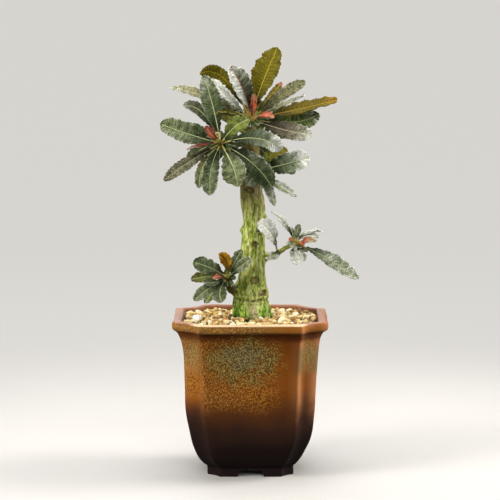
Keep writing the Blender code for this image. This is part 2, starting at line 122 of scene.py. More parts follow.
RIDGE_MARK_REACH = (1.0, 4.6)        # reach of the ridge's mark, worn glaze and painted highlight, from a ridge on to the face, and into the corner
POT_WOBBLE = 1.4               # how far the hand-made walls stray in and out
LIP_WOBBLE = 0.55              # how far the lip strays up and down
POT_SHARP = 38.0               # the pot's edges are sharp from this angle
# Glaze from the foot up: (height over 100 mm, colour)
GLAZE_TONES = [(0.0, (28, 19, 17)), (0.20, (35, 23, 19)), (0.33, (54, 33, 24)), (0.47, (94, 52, 22)),
               (0.58, (122, 66, 14)), (0.76, (118, 64, 14)), (0.92, (100, 52, 14)), (1.0, (128, 76, 26))]

# Gravel
SOIL_EDGE = 99.8
SOIL_EDGE_HALF = 43.6
SOIL_HEAP = 1.0
HEAP_REACH = 30.0
SOIL_WAVES = (0.7, 0.12)       # height of the surface's waves, and how many there are to a millimetre
BED_DEPTH = 3.2                # how far the dark bed lies under the tops of the grains
BED_MARGIN = 0.3
BED_RINGS = (1.0, 0.66, 0.33, 0.08)
GRAIN_PITCH = 3.3
GRAIN_ROWS = 0.87              # distance between rows, in pitches
GRAIN_STRAY = 0.7              # how far a grain strays from its place, in plan and in height
GRAIN_SIZES = (1.1, 2.3)       # smallest and largest radius
GRAIN_CUTS = 10
CUT_DEPTHS = (0.62, 0.9)       # how far from a grain's middle it is cut, in radii
GRAIN_STRETCH = ((0.95, 1.35), (0.85, 1.1), (0.7, 0.95))
GRAIN_TILT = 0.5
GRAIN_SHARP = 32.0
# Layers: middle against the gravel's surface, how dark its grains are painted (the lower layer's dark is
# painted shade in the gaps), and share of the places that stay empty
GRAIN_LAYERS = [(-2.6, 0.3, 0.0), (-0.4, 0.98, 0.25)]
# Colours of the grains, and how common each one is
GRAIN_TONES = [((236, 220, 166), 6), ((222, 196, 130), 6), ((202, 168, 98), 5), ((250, 242, 210), 4),
               ((176, 136, 74), 3), ((138, 100, 54), 2), ((196, 138, 88), 1), ((116, 88, 56), 1)]
# Stones that stand out: (x, y, radius, colour)
MARKED_STONES = [(-35.4, -9.0, 4.0, (255, 255, 252)), (-15.8, -12.0, 1.9, (206, 122, 74))]

# Trunk
ROOT_RADIUS = 12.6
TRUNK_BASE = (0.9, 2.0)        # centre of the foot
# Rings: (height, centre x, centre y, radius)
TRUNK_RINGS = [(84.0, 0.9, 2.0, 12.6), (100.0, 0.9, 2.0, 12.6), (103.0, 0.8, 2.0, 12.6),
               (108.7, 0.2, 2.0, 12.2), (113.5, 0.0, 2.0, 11.7), (118.0, -0.1, 2.0, 10.7),
               (123.0, 0.4, 2.0, 9.5), (127.9, 0.9, 2.0, 8.7), (136.0, 1.5, 2.0, 8.0),
               (144.4, 1.9, 2.0, 7.7), (151.0, 2.0, 2.0, 7.6), (157.5, 2.3, 2.0, 7.3),
               (166.0, 2.2, 2.0, 7.2), (174.6, 1.5, 2.0, 7.7), (181.0, 0.8, 2.0, 7.4),
               (186.0, 0.4, 2.0, 7.1), (194.0, 0.2, 2.0, 6.6), (200.0, 0.2, 2.0, 4.6)]
TRUNK_SIDES = 48
TRUNK_VOXEL = 0.55
STEM_STEPS = 6                 # rings of a stem's mesh to a stretch of its path
BRANCH_SIDES = 16
# Knobs and creases of the bark: (height, degrees from +x, reach up, reach round, how far out)
TRUNK_KNOBS = [(157.5, 180, 2.5, 22, 2.2), (119.5, 190, 3.5, 22, 1.8), (116.0, 340, 4.0, 22, 1.6),
               (188.0, 235, 4.0, 30, 0.9), (145.0, 185, 3.0, 25, 0.7), (139.5, 0, 3.5, 28, 1.2),
               (158.0, 300, 2.5, 20, 0.6), (166.5, 345, 2.0, 18, 1.6), (112.5, 262, 1.2, 200, -0.35)]
# Scars where leaves and shoots have dropped: (height, degrees from +x, radius, how brown it is)
TRUNK_SCARS = [(149.0, 275, 2.6, 0.75), (125.5, 285, 2.9, 1.0), (158.5, 298, 2.3, 0.6),
               (188.5, 246, 3.4, 1.0), (184.0, 262, 2.6, 0.9), (189.5, 282, 3.0, 0.8),
               (117.0, 318, 2.6, 0.8), (118.5, 205, 2.4, 0.8), (172.0, 30, 2.3, 0.7),
               (163.0, 95, 2.6, 0.8), (142.0, 120, 2.5, 0.7), (131.0, 60, 2.4, 0.8),
               (178.0, 140, 2.4, 0.7), (121.0, 110, 2.8, 0.9), (151.0, 205, 2.0, 0.5)]
SCAR_RIM = (0.5, 0.95, 0.35)           # height of a scar's rim, its place and its reach, in scar radii
SCAR_PIT = (0.5, 0.5)                  # depth of the scar's heart, and its reach
# Creases round the foot: (height, reach up, how far out)
TRUNK_CREASES = [(115.8, 1.3, -0.4), (112.6, 1.2, -0.9), (110.0, 0.9, -0.45), (114.2, 0.8, 0.4),
                 (111.4, 0.6, 0.3)]
CREASE_TILT = (0.7, 250.0)             # how far the creases tilt, and towards which bearing
TRUNK_FOOT = (116.0, 103.0)            # the mossy foot starts and is full at these heights
TRUNK_TOP = (199.0, 192.0)             # the branches take over from the trunk here
BARK_STREAKS, BARK_LUMPS, BARK_GRAIN = 0.5, 0.35, 0.12      # heights of the bark's random relief
STREAK_SCALE, LUMP_SCALE, GRAIN_SCALE = (0.55, 0.55, 0.07), 0.22, 0.9      # their counts to a millimetre
FOOT_FLUTES = (9.0, 0.2)               # how many flutes the foot has, and how deep they are
PALE_SCAR = (105.5, 277, 4.6, 12)      # height and degrees of the pale streak at the foot, and its reach
# Branch stubs: points of the path, and the radius at each
TRUNK_STUBS = {
    "left": ([(-1, 0, 190), (-8, -6, 201), (-14, -11, 208.5)], (5.0, 4.4, 3.6)),
    "upper": ([(0, 2, 194), (0, 1, 210), (0, 0.5, 222)], (5.2, 4.4, 3.4)),
    "right": ([(1, -1, 190), (3.2, -7.8, 194)], (4.0, 3.0)),
    "back": ([(0.5, 3, 192), (1.5, 8, 201), (2.5, 11.5, 206)], (4.8, 4.2, 3.6)),
    "side_left": ([(-6, 0, 116), (-12.6, -3.6, 119.0)], (3.4, 2.6)),
    "side_right": ([(4, 2, 139.8), (11.4, 1.2, 140.2)], (3.2, 2.4)),
}
BUD_REACH, BUD_RADII = 1.8, (1.9, 1.6, 0.9)
# Bark from its darkest to its palest grain: (value of the noise, colour)
BARK_TONES = [(0.3, (62, 78, 8)), (0.43, (122, 140, 34)), (0.55, (172, 186, 74)), (0.68, (236, 236, 166))]

TONES = {
    "grey_green": (82, 94, 60), "pale_green": (120, 130, 90), "dark_green": (30, 48, 20),
    "green": (50, 72, 32), "moss": (88, 108, 28), "olive": (94, 85, 0), "ochre": (70, 54, 0),
    "khaki": (96, 84, 2), "amber": (150, 114, 14), "lime": (116, 128, 36), "cream": (196, 188, 148),
    "yellow": (160, 146, 60), "mauve": (96, 84, 70), "taupe": (140, 130, 108), "silver": (138, 146, 126),
    "sage": (170, 158, 122), "salmon": (178, 66, 34), "rust": (96, 38, 16), "brick": (140, 58, 38),
    "orange": (182, 132, 12), "pink": (196, 122, 96), "brown": (78, 50, 24), "rib": (176, 184, 128),
    "rib_cream": (200, 190, 152), "rib_yellow": (170, 156, 24), "rib_pink": (198, 132, 98),
    "rib_gold": (160, 132, 32), "rib_green": (146, 176, 84),
}

# Short leaves round the heart of a rosette. Their sizes are for a stem that is INNER_STEM in radius at its
# top, and grow with it.
INNER_LEAVES = 8
INNER_LENGTHS = (8.0, 11.5)
INNER_WIDTHS = (5.0, 6.5)
INNER_STEM = 2.4
INNER_STRAY = 0.25             # how far one strays round the heart, in places
INNER_DROPS = (0.5, 3.0)       # how far its tip lies behind the heart
INNER_BACK = 0.6               # how far its middle does
INNER_ROLL = 20
# The tones to choose from, and the frost and sheen
INNER_DARK = ("dark_green", "green", "moss"), (0.2, 0.2, 0.5)
INNER_SILVER = ("pale_green", "silver", "grey_green"), (0.8, 0.7, 1.1)

# A leaf's points are from its shoot's heart; root is where its petiole starts, if that isn't the heart.
# tone and end are its colours at the base and the tip, and frost is how silvery its hairs make it on the
# left half, the right half and the tip, seen from its base: the hairs' own white and painted sheen where
# light catches them. fade is where along the blade the end's colour starts and where it is full. The
# defaults suit the leaves that the others hide.
Blade = namedtuple("Blade", "tip middle width roll tone end frost rib root fade",
                   defaults=(0, "green", "grey_green", (0.3, 0.3, 0.5), "rib", None, (0.2, 0.95)))

SHOOTS = {
    "left_shoot": {
        "stub": "left", "heart": (-19, -16, 215), "radius": (3.3, 2.4), "gaze": (-0.3, -0.8, 0.5),
        "bud": (-1.2, -4.6, 1.6),
        "leaves": [
            ((-11, 15, 43), (-5, 8, 23), 13.5, 0, "green", "grey_green", (0.5, 0.25, 0.8)),
            ((-24.5, 13, 24), (-12, 14, 19), 8.5, 15, "dark_green", "mauve", (0.3, 0.2, 0.8)),
            ((17.5, 0, 15.5), (8, -3, 10), 12.0, 10, "lime", "lime", (0.3, 0.25, 0.4)),
            ((-38.5, -6, 13), (-21, -5, 6.5), 15.5, 0, "grey_green", "pale_green", (0.55, 0.5, 0.5)),
            ((-36, -14, -22.5), (-20, -9, -11), 8.5, -30, "mauve", "taupe", (0.5, 0.45, 0.5)),
            ((-14, 1, -28.5), (-11, 3, -14), 8.0, 10, "olive", "pale_green", (0.3, 0.3, 0.7)),
            ((-7, -12, -32), (-6, -9, -15), 11.5, -25, "green", "pale_green", (0.55, 0.5, 0.65)),
            ((11, -17, -26), (8, -14, -14), 16.5, 0, "pale_green", "pale_green", (0.6, 0.4, 0.4)),
            ((39, -9, -3), (22, -11, 4), 13.0, -10, "dark_green", "silver", (0.0, 0.0, 1.25)),
            ((32.5, -10, -27), (20, -6, -12), 15.0, -15, "dark_green", "green", (0.6, 0.1, 0.35)),
            ((-30, 22, 6), (-15, 13, 6), 12.0),
            ((-22, 20, -14), (-12, 12, -4), 11.0),
        ],
        "young": [
            ((-8.5, -7, 10), (-4.5, -6, 5), 5.5, 20, "salmon", "brick", (0.1, 0.1, 0.35), "rib_pink"),
            ((-20, -10, -4.5), (-10, -7, -2), 6.5, 35, "rust", "brick", (0.1, 0.1, 0.7), "rust"),
        ],
    },
    "upper_shoot": {
        "stub": "upper", "heart": (0, 0, 230), "radius": (3.2, 2.4), "gaze": (0.0, -0.35, 0.95),
        "bud": (1.0, -4.8, -0.6),
        "leaves": [
            ((-33, 4, 29.5), (-17, 9, 26), 10.5, -50, "olive", "olive", (0.1, 0.3, 0.15), "rib_yellow"),
            ((-25, 2.5, 26), (-15, -1, 14.5), 8.5, -20, "cream", "silver", (1.3, 1.25, 1.3), "rib_cream"),
            ((-13, -9, 34.5), (-4.5, -7, 18), 15.5, -30, "grey_green", "silver", (1.35, 0.3, 0.95),
             "rib_pink"),
            ((-52, 12, 20), (-29, 10, 13.5), 11.0, 3, "olive", "sage", (0.45, 0.35, 0.75)),
            ((-21.5, -22, 4.5), (-12, -12, 3), 10.0, 10, "lime", "ochre", (0.1, 0.1, 0.1), "rib_yellow"),
            ((17.5, -2, 46), (8.5, -3, 25), 19.5, 10, "olive", "olive", (0.0, 0.0, 0.0), "rib_yellow"),
            ((35.5, 8, 24), (20.5, 3, 15.5), 9.0, 35, "sage", "sage", (0.45, 0.4, 0.5), "rib_green"),
            ((20.5, 20, 23), (13, 12, 14.5), 5.0, 20, "olive", "pink", (0.0, 0.0, 0.1), "rib_gold", None,
             (0.78, 0.92)),
            ((35.5, 14, 15), (22, 8, 9), 9.0, -15, "cream", "sage", (0.7, 0.6, 0.85), "rib_cream"),
            ((56, 0, 12.5), (33, -4, 7), 12.0, 25, "khaki", "amber", (0.0, 0.0, 0.1), "rib_gold", None,
             (0.65, 1.0)),
            ((45, 14, 3), (27, 10, -2.5), 13.0, 50, "moss", "moss", (0.2, 0.1, 0.8)),
            ((39.5, -10, -9), (24, -9, -7), 12.5, 50, "mauve", "taupe", (0.35, 0.4, 1.0), "rib_cream"),
            ((-7.5, 28, 27.5), (-3, 16, 14), 12.0),
            ((-30, 28, 9), (-15, 17, 8), 12.0),
        ],
        "young": [
            ((1, -6, 14), (1, -5, 7), 4.5, 0, "salmon", "salmon", (0.1, 0.1, 0.3), "rib_pink"),
            ((14, -12, 2), (8, -8, 4), 5.0, 30, "salmon", "pink", (0.1, 0.1, 0.3), "rib_pink"),
            ((1.5, -1.5, 17), (1, -1, 10), 4.5, 0, "salmon", "pink", (0.1, 0.1, 0.4), "rib_pink"),
        ],
    },
    "right_shoot": {
        "stub": "right", "heart": (4, -12, 197.5), "radius": (2.7, 2.2), "gaze": (0.3, -0.8, 0.4),
        "leaves": [
            ((33.5, -7, 9), (18.5, -6, 4.5), 15.5, 0, "green", "silver", (0.55, 0.3, 1.25)),
            ((25, -13, -16), (13.5, -8, -9), 9.5, -25, "lime", "silver", (1.1, 0.5, 0.9)),
            ((11.5, -7, -22), (7.5, -4, -11), 6.5, 35, "pale_green", "silver", (0.9, 0.7, 0.9)),
            ((-6, -8, -9), (-3, -5, -5), 9.0, 0, "grey_green", "silver", (0.5, 0.5, 0.5)),
            ((20, 13, 12), (9, 9, 9), 9.0, 0, "lime", "yellow", (0.1, 0.1, 0.2), "rib_yellow"),
        ],
        "young": [],
    },
    "back_shoot": {
        "stub": "back", "heart": (4, 18, 212), "radius": (3.3, 2.4), "gaze": (0.1, 0.8, 0.5),
        "leaves": [
            ((-4, 10, 36), (-2, 8, 19), 14.0, 0, "olive", "lime", (0.1, 0.2, 0.2), "rib_yellow"),
            ((14, 18, 30), (8, 11, 17), 13.0, 0, "green", "grey_green", (0.4, 0.3, 0.6)),
            ((32, 18, 9), (17, 13, 8), 13.5, 0, "grey_green", "pale_green", (0.5, 0.4, 0.7)),
            ((25, 17, -20), (14, 13, -7), 12.5, 0, "dark_green", "green", (0.2, 0.3, 0.5)),
            ((4, 22, -30), (3, 15, -13), 13.5, 0, "green", "pale_green", (0.5, 0.5, 0.7)),
            ((-18, 20, -22), (-10, 14, -9), 12.5, 0, "grey_green", "mauve", (0.4, 0.6, 0.7)),
            ((-29, 18, -2), (-15, 13, 2), 13.5, 0, "green", "grey_green", (0.3, 0.3, 0.6)),
            ((-26, 14, 24), (-13, 10, 14), 12.5, 0, "olive", "ochre", (0.1, 0.1, 0.2), "rib_yellow"),
            ((6, 34, 12), (3, 19, 9), 12.0, 0, "green", "pale_green", (0.5, 0.4, 0.6)),
        ],
        "young": [],
    },
    "side_shoot_left": {
        "stub": "side_left", "heart": (-15, -12, 128), "radius": (2.0, 1.6), "gaze": (-0.3, -0.8, 0.5),
        "bud": (-0.8, -3.4, 1.0),
        "leaves": [
            ((-22, -5, 10.5), (-10.5, -4, 6.5), 11.5, 0, "grey_green", "green", (0.45, 0.5, 0.55)),
            ((9.5, -2, 18), (5, -3, 10.5), 7.0, 10, "green", "grey_green", (0.6, 0.4, 0.6)),
            ((15.5, -13, 14), (8.5, -9, 8), 7.5, 20, "grey_green", "pale_green", (0.6, 0.6, 0.7)),
            ((-23.5, 0, -1.5), (-13, 0, 0.5), 7.5, 0, "lime", "olive", (0.2, 0.3, 0.3)),
            ((-21.5, -10, -13.5), (-12, -6, -6.5), 8.5, -25, "grey_green", "pale_green", (0.5, 0.4, 0.65)),
            ((-14.5, 2, -17), (-9.5, 2, -10.5), 6.0, 0, "lime", "lime", (0.3, 0.3, 0.7)),
            ((-3.5, -12, -14.5), (-4.5, -8, -7.5), 10.0, 0, "green", "grey_green", (0.4, 0.5, 0.6)),
            ((-15.5, -9.5, -2), (-8.5, -5.5, -2.6), 7.0, 10, "green", "grey_green", (0.4, 0.4, 0.5)),
        ],
        "young": [
            ((-4.5, -6, 15), (0.5, -3, 10), 8.0, 0, "orange", "orange", (0.0, 0.0, 0.0), "brown"),
            ((-8.5, -3, -0.5), (-4, -4, 0.5), 4.5, 10, "rust", "pink", (0.2, 0.2, 0.3), "rib_pink"),
        ],
    },
    "side_branch_right": {
        "stub": "side_right", "heart": (29, -6, 150), "radius": (1.8, 1.3), "gaze": (0.2, -0.5, 0.8),
        "bud": (1.0, -3.9, 0.6), "inner": INNER_SILVER,
        "leaves": [
            ((-24.0, -6.5, 14.0), (-16, -6.5, 7.5), 12.0, -40, "silver", "silver", (1.35, 1.2, 1.2),
             "rib_cream", (-11.5, 4.8, -6.5)),
            ((-15.5, -2, 20), (-7, 0, 12.5), 5.5, 0, "brown", "cream", (0.9, 0.9, 1.6), "brown", None,
             (0.3, 0.5)),
            ((2.5, 6, 11.5), (1.5, 4, 6.5), 5.0, 0, "pale_green", "silver", (0.5, 0.5, 0.6)),
            ((19, 0, 7), (8.5, -2, 7), 7.0, -25, "pale_green", "silver", (1.2, 0.9, 1.3)),
            ((0.5, -10, -13), (-0.5, -6, -7), 8.5, 0, "green", "silver", (1.1, 0.9, 1.2), "rib_cream"),
            ((6, 2, -12), (4, 2, -7), 6.0, 0, "green", "silver", (0.9, 1.1, 1.2), "rib_cream"),
            ((40.5, -10, -22.5), (22.5, -7, -10.3), 11.0, 20, "silver", "silver", (0.75, 0.45, 0.85)),
            ((14.5, -5, 3.5), (7.5, -2.5, 5.2), 7.5, -10, "cream", "silver", (1.0, 1.0, 1.0), "rib_cream"),
            ((-18.5, -4, -9.5), (-14, -4, -8), 8.5, 0, "pale_green", "silver", (0.8, 0.7, 0.9), "rib",
             (-9, 3.7, -5)),
            ((-2.5, 3, 9.5), (-1.5, 2, 5.5), 4.5, 0, "pale_green", "silver", (0.7, 0.7, 0.8)),
            ((8, -4, -5.5), (4.5, -2, -4), 4.5, 0, "green", "pale_green", (0.4, 0.4, 0.5)),
        ],
        "young": [
            ((12.5, -6, 2), (6, -4.8, 2), 5.5, 15, "salmon", "cream", (0.2, 0.2, 0.6), "rib_pink"),
            ((-5, -6, 2), (-2.5, -4, 1.7), 5.0, 0, "orange", "salmon", (0.2, 0.2, 0.3), "rib_pink"),
            ((4.5, -7, -0.9), (2, -5, 0.7), 4.8, 5, "orange", "salmon", (0.2, 0.2, 0.3), "rib_pink"),
        ],
    },
}

# Leaves
LEAF_THICKNESS = 0.45
LEAF_FOLD = 14.0
LEAF_WAVE = 0.45
LEAF_USUAL = 12.0              # width of the leaf that the depths of waves and teeth are for
PETIOLE_SHARE = 0.14
ROOT_SINK = 1.2
GAZE_DISTANCE = 60.0
BLADE_WIDEST = 0.58            # where along the blade it is widest
BLADE_BASE = 0.16              # its width at the petiole, as a share of the widest
BLADE_RISE, BLADE_FALL = 0.85, 2.4       # how full it is before its widest place and beyond it
BLADE_COLUMNS = 20
BLADE_WAVES = [(30.0, 6), (18.0, 4), (0.0, 3)]      # (length, how many waves a longer leaf has)
TOOTH_PITCH = 2.5              # distance between teeth along the leaf
TOOTH_DEPTH = 0.75
TOOTH_DRIFT = 0.32             # how far teeth stray along the edge, in teeth
TOOTH_ROWS = 8                 # rows of the mesh to a tooth
TIP_ROWS = (0.6, 0.3, 0.12, 0.03, 0.0)   # the last rows, in rows from the tip
CRUMPLE = (0.7, 0.17)          # height of a blade's random folds, and how many there are to a millimetre
PUFF = 0.36                    # how far the blade swells between its side veins
VEIN_SLANT = 1.0               # how many teeth further on a side vein meets the edge
VEIN_BEND = 1.3
# How strongly the side veins show, by the colour of the rib
VEIN_SHOWS = {"rib_yellow": 0.55, "rib_gold": 0.4, "rib_cream": 0.35}
VEIN_FAINT = 0.26
RIB_SIDES = 8
RIB_ROWS = 26
RIB_END = 0.985
RIB_RADII = (0.28, 0.7)        # thinnest and thickest rib at its base
HEART_SWELL = 1.12


def linear(colour):
    """An sRGB colour as the linear RGBA that shaders and attributes take."""
    values = [channel / 255.0 for channel in colour]
    return [v / 12.92 if v <= 0.04045 else ((v + 0.055) / 1.055) ** 2.4 for v in values] + [1.0]


def smoothstep(low, high, value):
    t = np.clip((value - low) / (high - low), 0.0, 1.0)
    return t * t * (3.0 - 2.0 * t)


def unit(vectors):
    return vectors / np.linalg.norm(vectors, axis=-1, keepdims=True)


def turn_between(angle, around):
    """Degrees from one bearing to another, from -180 to 180."""
    return (angle - around + 180.0) % 360.0 - 180.0


def noise_at(points, scale):
    """Smooth noise from -1 to 1 at each point."""
    return np.array([noise.noise(Vector(point) * scale) for point in points])


class Field:
    """A value that varies over a surface. Arithmetic on it adds Math nodes to the surface's tree."""

    def __init__(self, surface, socket):
        self.surface = surface
        self.socket = socket

    def __add__(self, other):
        return self.surface.math("ADD", self, other)

    def __sub__(self, other):
        return self.surface.math("SUBTRACT", self, other)

    def __rsub__(self, other):
        return self.surface.math("SUBTRACT", other, self)

    def __mul__(self, other):
        return self.surface.math("MULTIPLY", self, other)

    def __truediv__(self, other):
        return self.surface.math("DIVIDE", self, other)

    def __abs__(self):
        return self.surface.math("ABSOLUTE", self)


class Surface:
    """One material: adds nodes to its tree and links them to its Principled shader."""

    def __init__(self, name, sockets):
        self.material = bpy.data.materials.new(name)
        self.material.use_nodes = True
        self.tree = self.material.node_tree
        self.shader = self.tree.nodes["Principled BSDF"]
        for socket, value in sockets.items():
            self.set(socket, value)
        self.tone = self.relief = None
        place = Field(self, self.node("TexCoord").outputs["Object"])
        self.place = self.stretch(place, (1.0 / MM,) * 3)

    def node(self, kind, **settings):
        made = self.tree.nodes.new("ShaderNode" + kind)
        for key, value in settings.items():
            setattr(made, key, value)
        return made

    def put(self, socket, value):
        """Links a field to a socket, or gives the socket a plain value."""
        if isinstance(value, Field):
            self.tree.links.new(value.socket, socket)
        else:
            socket.default_value = value

    def set(self, socket, value):
        self.put(self.shader.inputs[socket], value)

    def feed(self, made, *values):
        """Puts the values into a node's first sockets and returns its first output."""
        for socket, value in zip(made.inputs, values):
            self.put(socket, value)
        return Field(self, made.outputs[0])

    def math(self, operation, *values):
        return self.feed(self.node("Math", operation=operation), *values)

    def split(self, vector):
        made = self.node("SeparateXYZ")
        self.feed(made, vector)
        return [Field(self, output) for output in made.outputs]

    def stretch(self, vector, factors):
        return self.feed(self.node("VectorMath", operation="MULTIPLY"), vector, factors)

    def mix(self, factor, first, second, blend="MIX"):
        """Mixes two colours, each a field or an sRGB triple."""
        made = self.node("Mix", data_type="RGBA", blend_type=blend, clamp_factor=True)
        self.put(made.inputs[0], factor)
        for socket, colour in ((made.inputs[6], first), (made.inputs[7], second)):
            self.put(socket, linear(colour) if isinstance(colour, tuple) else colour)
        return Field(self, made.outputs[2])

    def band(self, value, low, high, start=0.0, end=1.0):
        """Goes smoothly from start to end as the value goes from low to high."""
        made = self.node("MapRange", interpolation_type="SMOOTHSTEP")
        return self.feed(made, value, low, high, start, end)

    def ramp(self, value, stops):
        made = self.node("ValToRGB")
        elements = made.color_ramp.elements
        while len(elements) < len(stops):
            elements.new(0.5)
        for element, (position, colour) in zip(elements, stops):
            element.position = position
            element.color = linear(colour)
        return self.feed(made, value)

    def texture(self, kind, place, settings, **choices):
        made = self.node(kind, **choices)
        self.put(made.inputs["Vector"], place)
        for socket, value in settings.items():
            made.inputs[socket].default_value = value
        return Field(self, made.outputs[0])

    def noise(self, scale, detail=2.0, roughness=0.5, rise=None):
        """Noise; a rise under 1 draws it out in height."""
        place = self.stretch(self.place, (1.0, 1.0, rise)) if rise else self.place
        return self.texture("TexNoise", place, {"Scale": scale, "Detail": detail, "Roughness": roughness})

    def net(self, scale):
        """Distance from the borders of small random cells."""
        return self.texture("TexVoronoi", self.place, {"Scale": scale}, feature="DISTANCE_TO_EDGE")

    def attribute(self, name, output="Fac"):
        return Field(self, self.node("Attribute", attribute_name=name).outputs[output])

    def colour(self, tone):
        self.tone = tone
        self.set("Base Color", tone)

    def paint(self, factor, colour, blend="MIX"):
        """Lays a colour over those that are there."""
        self.colour(self.mix(factor, self.tone, colour, blend))

    def bump(self, height, distance, strength=1.0):
        """Adds a relief, in millimetres of height, on top of those already there."""
        made = self.node("Bump")
        self.put(made.inputs["Strength"], strength)
        self.put(made.inputs["Distance"], distance * MM)
        self.put(made.inputs["Height"], height)
        if self.relief:
            self.put(made.inputs["Normal"], self.relief)
        self.relief = Field(self, made.outputs[0])
        self.set("Normal", self.relief)


# Meshes and objects

def new_mesh(name, points, faces):
    mesh = bpy.data.meshes.new(name)
    mesh.from_pydata((np.asarray(points, float).reshape(-1, 3) * MM).tolist(), [], faces)
    return mesh


def vertex_vectors(mesh, field):
    values = np.zeros(len(mesh.vertices) * 3)
    mesh.vertices.foreach_get(field, values)
    return values.reshape(-1, 3)


def move_vertices(mesh, points):
    mesh.vertices.foreach_set("co", (points * MM).astype(np.float32).ravel())


def add_values(mesh, name, values):
    """Gives each vertex of a mesh a number, a vector or a colour."""
    width = 1 if values.ndim == 1 else values.shape[1]
    kind, field = {1: ("FLOAT", "value"), 3: ("FLOAT_VECTOR", "vector"), 4: ("FLOAT_COLOR", "color")}[width]
    layer = mesh.attributes.new(name, kind, "POINT")
    layer.data.foreach_set(field, values.astype(np.float32).ravel())


def add_object(name, data):
    obj = bpy.data.objects.new(name, data)
    bpy.context.scene.collection.objects.link(obj)
    return obj


def place_mesh(mesh, name, *surfaces):
    """Makes the object of a mesh that is built round the pot's axis."""
    for surface in surfaces:
        mesh.materials.append(surface.material)
    mesh.shade_smooth()
    obj = add_object(name, mesh)
    obj.location = POT_AXIS
    return obj


def baked_mesh(obj):
    """The mesh of an object with its modifiers applied. The object itself goes."""
    bpy.context.view_layer.update()
    mesh = bpy.data.meshes.new_from_object(obj.evaluated_get(bpy.context.evaluated_depsgraph_get()))
    bpy.data.objects.remove(obj, do_unlink=True)
    return mesh


def finish_piece(obj, node):
    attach(obj, BODY)
    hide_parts(node)


class Parts:
    """Collects pieces of mesh, each vertex with the same named values, into one object."""

    def __init__(self):
        self.points = []
        self.faces = []
        self.values = {}
        self.count = 0

    def add(self, points, faces, **values):
        size = len(points)
        self.points.append(points)
        self.faces += [[index + self.count for index in face] for face in faces]
        for name, value in values.items():
            value = np.asarray(value, float)
            if value.shape[:1] != (size,):
                value = np.broadcast_to(value, (size,) + value.shape)
            self.values.setdefault(name, []).append(value)
        self.count += size

    def build(self, name, *surfaces):
        mesh = new_mesh(name, np.vstack(self.points), self.faces)
        for key, parts in self.values.items():
            add_values(mesh, key, np.concatenate(parts))
        return place_mesh(mesh, name, *surfaces)


def grid_faces(rows, columns, wrap=False):
    """Quads of a grid of points that is stored row by row. wrap closes each row on itself."""
    faces = []
    for i in range(rows - 1):
        for j in range(columns if wrap else columns - 1):
            k = (j + 1) % columns
            near, far = i * columns, (i + 1) * columns
            faces.append((near + j, near + k, far + k, far + j))
    return faces


def skin_faces(rows, columns):
    """Faces of a closed skin over a stack of rings, with both its ends."""
    first, last = range(columns - 1, -1, -1), range((rows - 1) * columns, rows * columns)
    return grid_faces(rows, columns, wrap=True) + [tuple(first), tuple(last)]


def circle(sides):
    angles = np.arange(sides) * 2.0 * math.pi / sides
    return np.column_stack([np.cos(angles), np.sin(angles)])


def at_height(plan, height):
    """Points of a plan, with one height for all of them or a list of heights."""
    return np.column_stack([plan, np.full(len(plan), height)])


def tube(path, side, up, radii, sides):
    """A closed tube along a path. radii has one column, or two for a tube that is wider along side."""
    radii = np.asarray(radii, float).reshape(len(path), -1, 1, 1)
    wide, high = circle(sides).T[:, None, :, None]
    points = path[:, None] + side[:, None] * wide * radii[:, 0] + up[:, None] * high * radii[:, -1]
    return points.reshape(-1, 3), skin_faces(len(path), sides)


def smooth_curve(points, steps):
    """Catmull-Rom points through a list of points, with a number of steps to each stretch."""
    points = [np.asarray(p, float) for p in points]
    padded = [2 * points[0] - points[1], *points, 2 * points[-1] - points[-2]]
    made = []
    for a, b, c, d in zip(padded, padded[1:], padded[2:], padded[3:]):
        for t in np.arange(steps) / steps:
            made.append(0.5 * (2 * b + (c - a) * t + (2 * a - 5 * b + 4 * c - d) * t * t
                               + (3 * b - a - 3 * c + d) * t ** 3))
    made.append(points[-1])
    return np.array(made)


def ball_mesh(subdivisions, radius=1.0):
    ball = bmesh.new()
    bmesh.ops.create_icosphere(ball, subdivisions=subdivisions, radius=radius)
    points = np.array([v.co for v in ball.verts])
    faces = [[v.index for v in face.verts] for face in ball.faces]
    ball.free()
    return points, faces


# Camera, floor and light

def make_camera():
    data = bpy.data.cameras.new("camera")
    data.lens = CAMERA_LENS
    data.sensor_width = CAMERA_SENSOR
    data.clip_end = CAMERA_SIGHT
    camera = add_object("camera", data)
    camera.location = Vector(CAMERA_PLACE) * MM + POT_AXIS
    camera.rotation_euler = (math.radians(90.0 - CAMERA_PITCH), 0.0, 0.0)
    bpy.context.scene.camera = camera


def turned_sheet(name, profile, paper):
    """A sheet of studio paper turned round the pot, from a profile of radii and heights."""
    rings = [at_height(circle(STAGE_SIDES) * radius, height) for radius, height in profile]
    mesh = new_mesh(name, rings, grid_faces(len(rings), STAGE_SIDES, wrap=True))
    mesh.materials.append(paper.material)
    mesh.shade_smooth()
    sheet = add_object(name, mesh)
    sheet.visible_diffuse = False
    sheet.visible_glossy = False
    return sheet


def make_floor():
    """A pale round floor that sweeps up into a glowing backdrop on all sides."""
    paper = Surface("pale_floor", {"Roughness": 0.85, "Specular IOR Level": 0.2})
    x, y, _ = paper.split(paper.place)
    glow = paper.band(paper.math("SQRT", x * x + y * y), *STAGE_LIT)
    paper.colour(paper.mix(paper.noise(0.01, 3.0), (192, 190, 187), (198, 196, 193)))
    paper.paint(glow, (34, 34, 33))
    paper.set("Emission Color", linear(GLOW_TONE))
    paper.set("Emission Strength", glow * STAGE_GLOW)
    turned_sheet("floor", [(radius, 0.0) for radius in FLOOR_RADII], paper)
    edge = FLOOR_RADII[-1]
    bend = []
    for step in range(STAGE_STEPS + 1):
        angle = math.radians(90.0 * step / STAGE_STEPS)
        bend.append((edge + STAGE_BEND * math.sin(angle), STAGE_BEND * (1.0 - math.cos(angle))))
    backdrop = turned_sheet("backdrop", bend + [(edge + STAGE_BEND, STAGE_RISE)], paper)
    backdrop.visible_shadow = False


